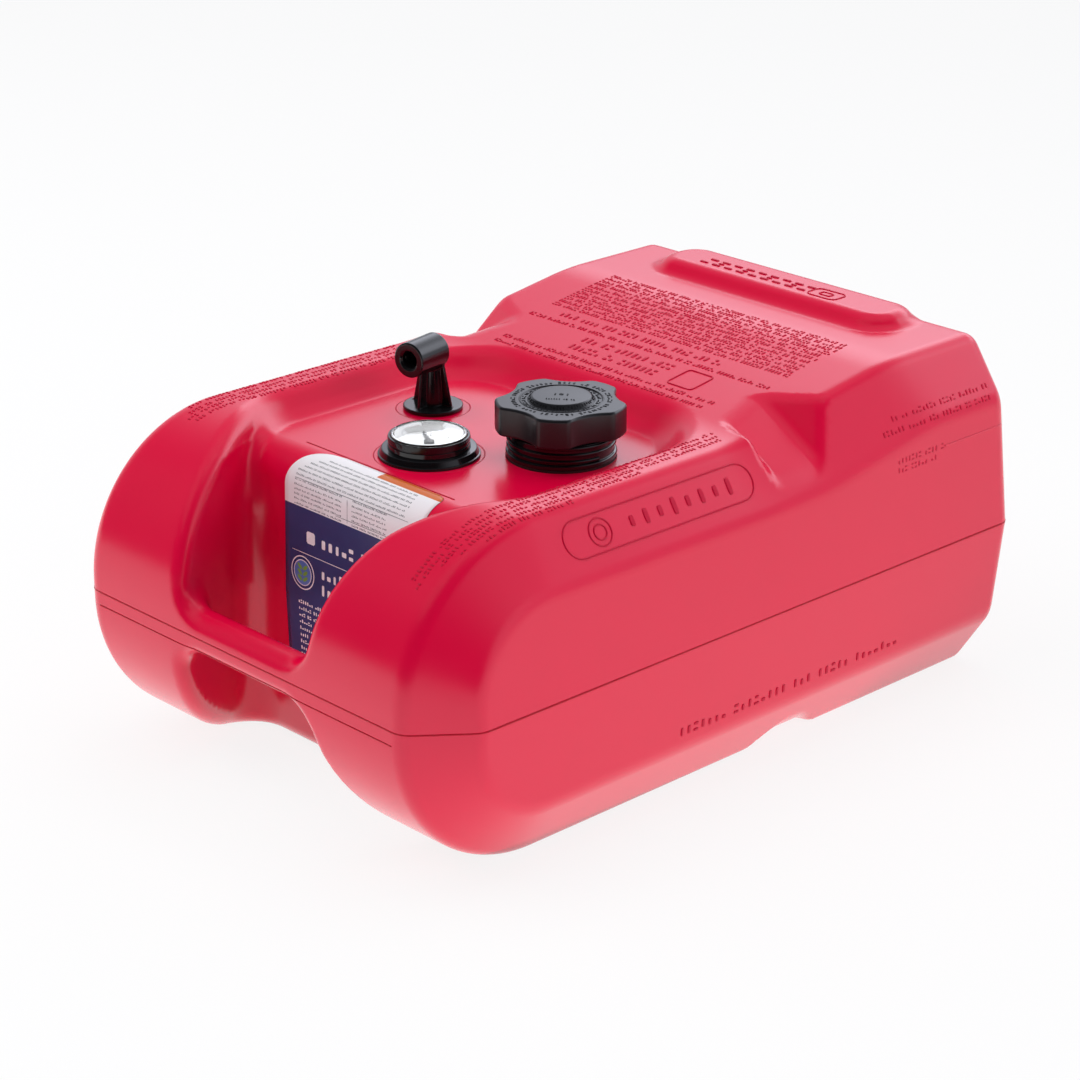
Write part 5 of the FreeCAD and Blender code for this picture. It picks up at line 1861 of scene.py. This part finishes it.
@dataclass
class Gauge:
    """Fuel gauge's head: stepped body, ring, domed window and dial ticks."""

    place: Vector
    flange: float = 0.032
    flange_low: float = 0.001
    flange_top: float = 0.0018
    shoulder: float = 0.0296
    shoulder_top: float = 0.0054
    cup: float = 0.024
    wall: float = 0.0014
    cup_top: float = 0.0125
    floor: float = 0.006
    spigot: float = 0.020
    spigot_drop: float = 0.012
    shaft: float = 0.0017
    ring: float = 0.0255
    ring_top: float = 0.0134
    groove: float = 0.0086
    groove_depth: float = 0.0006
    lens: float = 0.0238
    rim_top: float = 0.0144
    rise: float = 0.0018
    dial_top: float = 0.0068
    sweep: float = math.radians(120)
    # Ticks: how many, their outer radius, and the (long, short) lengths.
    tick_count: int = 9
    tick_reach: float = 0.0185
    tick_lengths: Pair = (0.0036, 0.0022)
    tick_stroke: Pair = (0.0007, 0.0002)
    grip_count: int = 64
    grip_height: float = 0.0113
    grip_size: Triple = (0.0014, 0.0019, 0.0004)

    def head(self) -> Piece:
        """Stepped body with the room for the dial, pale inside.

        Returns:
            The object.
        """
        inner, foot = self.cup - self.wall, self.shoulder_top
        head = turned("gauge_head", [
            (self.shaft, -self.spigot_drop, 0), (self.spigot, -self.spigot_drop, 0.0006),
            (self.spigot, self.flange_low, 0), (self.flange, self.flange_low, 0.0003),
            (self.flange, self.flange_top, 0.0004),
            (self.flange - 0.0010, self.flange_top + 0.0001, 0.0002),
            (self.shoulder, foot, 0.0009), (self.cup, foot + 0.0002, 0.0002),
            (self.cup, self.cup_top, 0.0003), (inner, self.cup_top, 0.0003), (inner, self.floor, 0.0006),
            (self.shaft, self.floor, 0.0002)], 160)
        for finish in (GLOSS, DIAL):
            head.data.materials.append(finish.material())
        for face in head.data.polygons:
            near_axis = face.center.xy.length < inner + 0.0002
            face.material_index = int(near_axis and face.center.z > self.floor - 0.0002)
        return head

    def bezel(self) -> Piece:
        """Ring round the window with a groove round its side.

        Returns:
            The object.
        """
        inner, foot, low = self.cup + 0.00005, self.shoulder_top, self.groove
        deep = self.ring - self.groove_depth
        return turned("gauge_ring", [
            (inner, foot, 0.0001), (self.ring + 0.0004, foot, 0.0005), (self.ring, low, 0.0002),
            (deep, low + 0.0001, 0.0001), (deep, low + 0.0008, 0.0001),
            (self.ring, low + 0.0009, 0.0002), (self.ring, self.ring_top, 0.0006),
            (inner, self.ring_top, 0.0003)], 160)

    def dome(self, radius: float, base: float, count: int = 9) -> list[Triple]:
        """Profile of a shallow dome from its rim to the axis.

        Args:
            radius: Radius of its rim.
            base: Height of its rim.
            count: Points of the profile.

        Returns:
            (radius, height, rounding) of each point.
        """
        ball = (radius ** 2 + self.rise ** 2) / (2 * self.rise)
        reach = np.linspace(radius, 0.0, count)
        return [(r, base + self.rise - ball + math.sqrt(ball ** 2 - r * r), 0) for r in reach]

    def window(self) -> Piece:
        """Clear window: a rim and a shallow dome, hollow beneath.

        Returns:
            The object.
        """
        inner = self.cup - self.wall
        return turned("gauge_window", [
            *self.dome(inner, self.rim_top - self.wall - 0.0003)[::-1], (inner, self.cup_top, 0),
            (self.lens, self.cup_top, 0), (self.lens, self.rim_top, 0.0005),
            (self.lens - 0.0016, self.rim_top, 0.0003),
            *self.dome(self.lens - 0.0024, self.rim_top - 0.0003)])

    def ticks(self) -> Piece:
        """Tick marks on the dial.

        Returns:
            The object.
        """
        marks = Marks(31)
        for index in range(self.tick_count):
            out = ray(TURN / 4 + self.sweep * (index / (self.tick_count - 1) - 0.5))
            long = self.tick_lengths[index % 2]
            spot = out * (self.tick_reach - long / 2) + (0, 0, self.dial_top)
            marks.put(spot, UP, out, (long, *self.tick_stroke))
        return marks.build("gauge_ticks", POINTER.material(), crown=0.95)

    def ring_marks(self) -> Piece:
        """Blocky grip marks round the side of the ring.

        Returns:
            The object.
        """
        marks = Marks(33)
        for index in range(self.grip_count):
            out = ray(TURN * index / self.grip_count)
            marks.put(out * self.ring + (0, 0, self.grip_height), out, np.cross(UP, out), self.grip_size)
        return marks.build("gauge_ring_marks", GLOSS.material(), crown=0.8)

    def build(self) -> None:
        """Places every piece of the head."""
        for piece, slot, finish, nodes in (
                (self.head(), "black_gloss", None, ["gauge_body"]),
                (self.bezel(), "black_gloss", GLOSS, ["gauge_bezel"]),
                (self.window(), "clear_lens", CLEAR, ["gauge_lens"]),
                (self.ticks(), "pointer_dark", None, []),
                (self.ring_marks(), "black_gloss", None, [])):
            if finish:
                piece.data.materials.append(finish.material())
            piece.visible_shadow = slot != "clear_lens"
            dressed(placed(piece, self.place), "tank", slot, *nodes)


# ------------------------------------------------------------------ pickup

@dataclass
class Pickup:
    """Swivelling elbow: flange, ribbed pillar and horizontal barrel."""

    place: Vector
    heading: float = math.radians(11)
    flange: float = 0.0194
    lip: float = 0.0006
    flange_top: float = 0.0030
    foot: float = 0.008
    neck: float = 0.0054
    centre: float = 0.0387
    barrel: float = 0.0115
    reach: float = 0.025
    back: float = 0.0036
    chamfer: float = 0.001
    bore: float = 0.00565
    bore_depth: float = 0.014
    mouth: float = 0.0069
    # Ring in the bore: (depth, half width, height).
    bore_ring: Triple = (0.004, 0.0009, 0.0005)
    spigot: float = 0.005
    spigot_drop: float = 0.018
    nipple: float = 0.0032
    nipple_drop: float = 0.029
    passage: float = 0.0022
    web: float = 0.002
    web_foot: float = 0.0155
    front_web: float = 0.0124
    side_web: float = 0.0077
    fillet: float = 0.0012
    mesh_step: float = 0.0007

    def solid(self, x: Array, y: Array, z: Array) -> Array:
        """Distance to the elbow, heading along -Y.

        Args:
            x: Positions across the fitting.
            y: Positions along the tank, from its axis.
            z: Heights above the deck.

        Returns:
            Distances, negative inside.
        """
        from_axis = np.hypot(x, y)
        thick = np.abs(z - (self.lip + self.flange_top) / 2) - (self.flange_top - self.lip) / 2
        flange = rounded_max(from_axis - self.flange, thick, 0.0006)
        rise = (z - self.flange_top) / (self.centre - self.flange_top)
        tall = np.maximum(z - self.centre, -z)
        pillar = np.maximum(from_axis - self.foot - (self.neck - self.foot) * rise, tall)
        webs = np.full(np.shape(x * y * z), 1.0)
        for out, across, top in ((-y, x, self.front_web), (y, x, self.back), (x, y, self.side_web),
                                 (-x, y, self.side_web)):
            edge = out - self.web_foot - (top - self.web_foot) * np.clip(rise, 0, 1)
            plate = rounded_max(edge, np.abs(across) - self.web / 2, 0.0007)
            webs = np.minimum(webs, np.maximum(plate, np.maximum(-out, tall)))
        form = rounded_min(pillar, webs, self.fillet)
        form = rounded_min(form, flange, self.fillet)
        length = np.maximum(-self.reach - y, y - self.back)
        barrel = rounded_max(np.hypot(x, z - self.centre) - self.barrel, length, self.chamfer)
        form = rounded_min(form, barrel, self.fillet)
        for radius, low, high in ((self.spigot, -self.spigot_drop, self.lip + 0.001),
                                  (self.nipple, -self.nipple_drop, 0.0)):
            form = np.minimum(form, np.maximum(from_axis - radius, np.maximum(low - z, z - high)))
        depth = y + self.reach
        ring, half, height = self.bore_ring
        width = self.bore + np.maximum(self.mouth - self.bore - depth, 0.0)
        width = width + height * (np.abs(depth - ring) < half) * (depth > 0)
        bore = np.maximum(np.hypot(x, z - self.centre) - width, depth - self.bore_depth)
        form = rounded_max(form, -bore, 0.0003)
        return np.maximum(form, -np.maximum(from_axis - self.passage, z - self.centre))

    def build(self) -> None:
        """Meshes the elbow and turns it to its heading."""
        low, high = 0.002, 0.003
        grid = [np.arange(start - low, end + high, self.mesh_step) for start, end in (
            (-self.flange, self.flange), (-self.reach, self.flange),
            (-self.nipple_drop, self.centre + self.barrel))]
        points, quads = surface_net(self.solid, grid, 2)
        elbow = mesh_object("pickup_elbow_body", points, quads, unit(slope_of(self.solid, points, 1e-4)))
        elbow.data.materials.append(ELBOW.material())
        dressed(placed(elbow, self.place, self.heading), "pickup", "black_satin", "pickup_elbow")


# ------------------------------------------------------------------ studio

def aimed(name: str, data: bpy.types.ID, place: Sequence[float], target: Vector) -> Piece:
    """Lamp or camera at a place, turned to a target.

    Args:
        name: Name of the object.
        data: The lamp or the camera.
        place: Where it stands.
        target: What it looks at.

    Returns:
        The object.
    """
    piece = linked(name, data)
    piece.location = place
    piece.rotation_euler = (target - piece.location).to_track_quat("-Z", "Y").to_euler()
    return piece


@dataclass(frozen=True)
class Lamp:
    """Soft area lamp that faces a target; at level 1, white renders as white on a face turned to it."""

    name: str
    place: Triple
    size: float
    level: float

    def build(self, target: Vector) -> None:
        """Adds the lamp.

        Args:
            target: What it faces.
        """
        data = bpy.data.lights.new(self.name, "AREA")
        reach = (target - Vector(self.place)).length
        data.shape, data.size = "DISK", self.size
        data.energy = self.level * math.pi ** 2 * (reach ** 2 + (self.size / 2) ** 2)
        aimed(self.name, data, self.place, target).visible_glossy = False


@dataclass(frozen=True)
class Glow:
    """Soft bright part of the surroundings, towards a direction, below a ceiling and above a foot."""

    towards: Triple
    start: float
    end: float
    strength: float
    ceiling: float = 1.0
    foot: float = -2.0
    ceiling_ease: float = 0.12
    foot_ease: float = 0.07

    def level(self, graph: Graph, where: Socket, height: Socket) -> Socket:
        """Brightness of the glow, by the direction that is looked in and its height.

        Args:
            graph: Tree of the world.
            where: Direction that is looked in.
            height: Upward part of that direction.

        Returns:
            Socket of the brightness.
        """
        along = graph.vector("DOT_PRODUCT", where, self.towards)
        rise = graph.ramp(along, self.start, self.end, 0.0, self.strength)
        low, high = self.ceiling - self.ceiling_ease, self.ceiling + self.ceiling_ease
        fall = graph.ramp(height, low, high, 1.0, 0.0)
        lift = graph.ramp(height, self.foot - self.foot_ease, self.foot + self.foot_ease)
        return graph.math("MULTIPLY", rise, graph.math("MULTIPLY", fall, lift))


@dataclass
class Studio:
    """Pale light floor, soft surroundings, lamps and the camera."""

    camera_place: Vector = field(default_factory=lambda: Vector((1.2793, -1.2225, 0.8244)))
    camera_target: Vector = field(default_factory=lambda: Vector((-0.01267, 0.0035, 0.107)))
    focal_length: float = 97.5
    sensor: float = 36.0
    view_depth: float = 60.0
    floor_size: float = 9.0
    floor_drop: float = 0.0003
    floor_share: float = 0.86
    floor_colour: float = 0.94
    # Bright part of the floor round the object, in reflections.
    sheet_reach: float = 0.36
    sheet_level: float = 1.2
    sheet_stretch: Triple = (1.0, 1.9, 0.0)
    # What diffuse rays see: all of the room, and a share of the glows.
    ambient: float = 0.05
    glow_light: float = 0.42
    room_in_reflections: float = 0.02
    room: Glow = Glow((-0.45, 0.75, 0.48), -0.95, 0.35, 0.20)
    tint: Triple = (0.97, 1.0, 1.13)
    glows: tuple[Glow, ...] = (
        Glow((-0.62, 0.78, 0.0), 0.15, 0.80, 0.65, ceiling=0.58),
        Glow((-0.08, 1.0, 0.0), 0.60, 0.72, 1.9, ceiling=0.66, foot=0.30),
        Glow((0.75, 0.66, 0.0), 0.35, 0.95, 0.7, ceiling=0.7),
        Glow((-0.2, 0.45, 0.87), 0.6, 0.98, 0.35))
    lamps: tuple[Lamp, ...] = (
        Lamp("key", (-0.8, -1.2, 2.2), 2.2, 0.36),
        Lamp("right", (2.5, 0.5, 0.9), 1.8, 0.20),
        Lamp("left", (-2.6, -1.0, 0.8), 1.8, 0.21),
        Lamp("top", (0.0, 0.5, 2.8), 2.2, 0.27),
        Lamp("table", (-0.01, 0.0, -0.0001), 1.6, 0.42))

    def seen(self, graph: Graph) -> tuple[Socket, Socket]:
        """Two switches: rays straight from the camera or through glass, and rays of a reflection.

        Args:
            graph: Tree of a material or of the world.

        Returns:
            Sockets that are 1 for such rays and 0 for others.
        """
        path = graph.node("ShaderNodeLightPath").outputs
        straight = graph.math("MAXIMUM", path["Is Camera Ray"], path["Is Transmission Ray"])
        return straight, path["Is Glossy Ray"]

    def world(self) -> None:
        """White behind the object; to all other rays a dim room with soft glows."""
        world = bpy.data.worlds.new("studio")
        graph = fresh_graph(world)
        where = graph.node("ShaderNodeTexCoord").outputs["Generated"]
        height = graph.node("ShaderNodeSeparateXYZ", {0: where}).outputs[2]
        straight, glossy = self.seen(graph)
        room = graph.math("ADD", self.room.level(graph, where, height), self.ambient)
        dull = graph.math("SUBTRACT", 1.0 + self.room_in_reflections, glossy)
        level = graph.math("MULTIPLY", room, dull)
        share = graph.ramp(glossy, 0.0, 1.0, self.glow_light)
        for glow in self.glows:
            lit = graph.math("MULTIPLY", glow.level(graph, where, height), share)
            level = graph.math("ADD", level, lit)
        soft = graph.node("ShaderNodeBackground", {"Color": (*self.tint, 1), "Strength": level})
        white = graph.node("ShaderNodeBackground", {"Color": (1, 1, 1, 1), "Strength": 1.0})
        mixed = graph.node("ShaderNodeMixShader", {0: straight, 1: soft.outputs[0], 2: white.outputs[0]})
        graph.node("ShaderNodeOutputWorld", {"Surface": mixed.outputs[0]})
        bpy.context.scene.world = world

    def floor(self) -> Piece:
        """Large pale floor, nearly white to the camera and in reflections, that keeps the shadow.

        Returns:
            The object.
        """
        half = self.floor_size / 2
        plan = ((-half, -half), (half, -half), (half, half), (-half, half))
        floor = mesh_object("floor", [(x, y, -self.floor_drop) for x, y in plan], [(0, 1, 2, 3)])
        material = bpy.data.materials.new("studio_floor")
        graph = fresh_graph(material)
        straight, glossy = self.seen(graph)
        share = graph.math("MAXIMUM", graph.math("MULTIPLY", straight, self.floor_share), glossy)
        where = graph.node("ShaderNodeTexCoord").outputs["Object"]
        out = graph.vector("SUBTRACT", graph.vector("ABSOLUTE", where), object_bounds()[1])
        out = graph.vector("MULTIPLY", graph.vector("MAXIMUM", out), self.sheet_stretch)
        near = graph.ramp(graph.vector("LENGTH", out), 0.0, self.sheet_reach, self.sheet_level, 0.0)
        bright = graph.node("ShaderNodeMix", {0: straight, 2: near, 3: 1.0})
        paint = graph.node("ShaderNodeBsdfDiffuse", {"Color": (*[self.floor_colour] * 3, 1)})
        white = graph.node("ShaderNodeEmission", {"Color": (1, 1, 1, 1), "Strength": bright.outputs[0]})
        mixed = graph.node("ShaderNodeMixShader", {0: share, 1: paint.outputs[0], 2: white.outputs[0]})
        graph.node("ShaderNodeOutputMaterial", {"Surface": mixed.outputs[0]})
        floor.data.materials.append(material)
        return floor

    def camera(self) -> None:
        """Camera of the main view."""
        data = bpy.data.cameras.new("camera")
        data.lens, data.sensor_width, data.clip_end = self.focal_length, self.sensor, self.view_depth
        bpy.context.scene.camera = aimed("camera", data, self.camera_place, self.camera_target)

    def build(self) -> None:
        """Sets up the whole studio."""
        bpy.context.scene.view_settings.view_transform = "Standard"
        self.world()
        self.camera()
        for lamp in self.lamps:
            lamp.build(self.camera_target)
        self.floor()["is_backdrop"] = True


# ------------------------------------------------------------------ assembly

def foot_of(node: str, height: float) -> Vector:
    """Point on the axis of an upright fitting, at a height."""
    low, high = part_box(node)
    return Vector(((low.x + high.x) / 2, (low.y + high.y) / 2, height))


def finish_carried_nodes() -> None:
    """Gives every construction node the material of its slot in the record."""
    for entry in frame["record"]["subparts"]:
        node = frame["nodes"][entry["node"]]
        node.data.materials.clear()
        node.data.materials.append(SLOT_FINISHES[entry["material_slot"]].material())


def main() -> None:
    """Builds the dressed model and its studio."""
    logging.basicConfig(level=logging.INFO, format="%(name)s: %(message)s")
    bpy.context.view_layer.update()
    body = TankBody()
    body.build()
    Moulding(body).build()
    Label(body).build()
    Filler(foot_of("filler_neck", body.deck)).build()
    Gauge(foot_of("gauge_body", body.deck)).build()
    Pickup(foot_of("pickup_grommet", body.deck)).build()
    finish_carried_nodes()
    Studio().build()


if __name__ == "__main__":
    main()
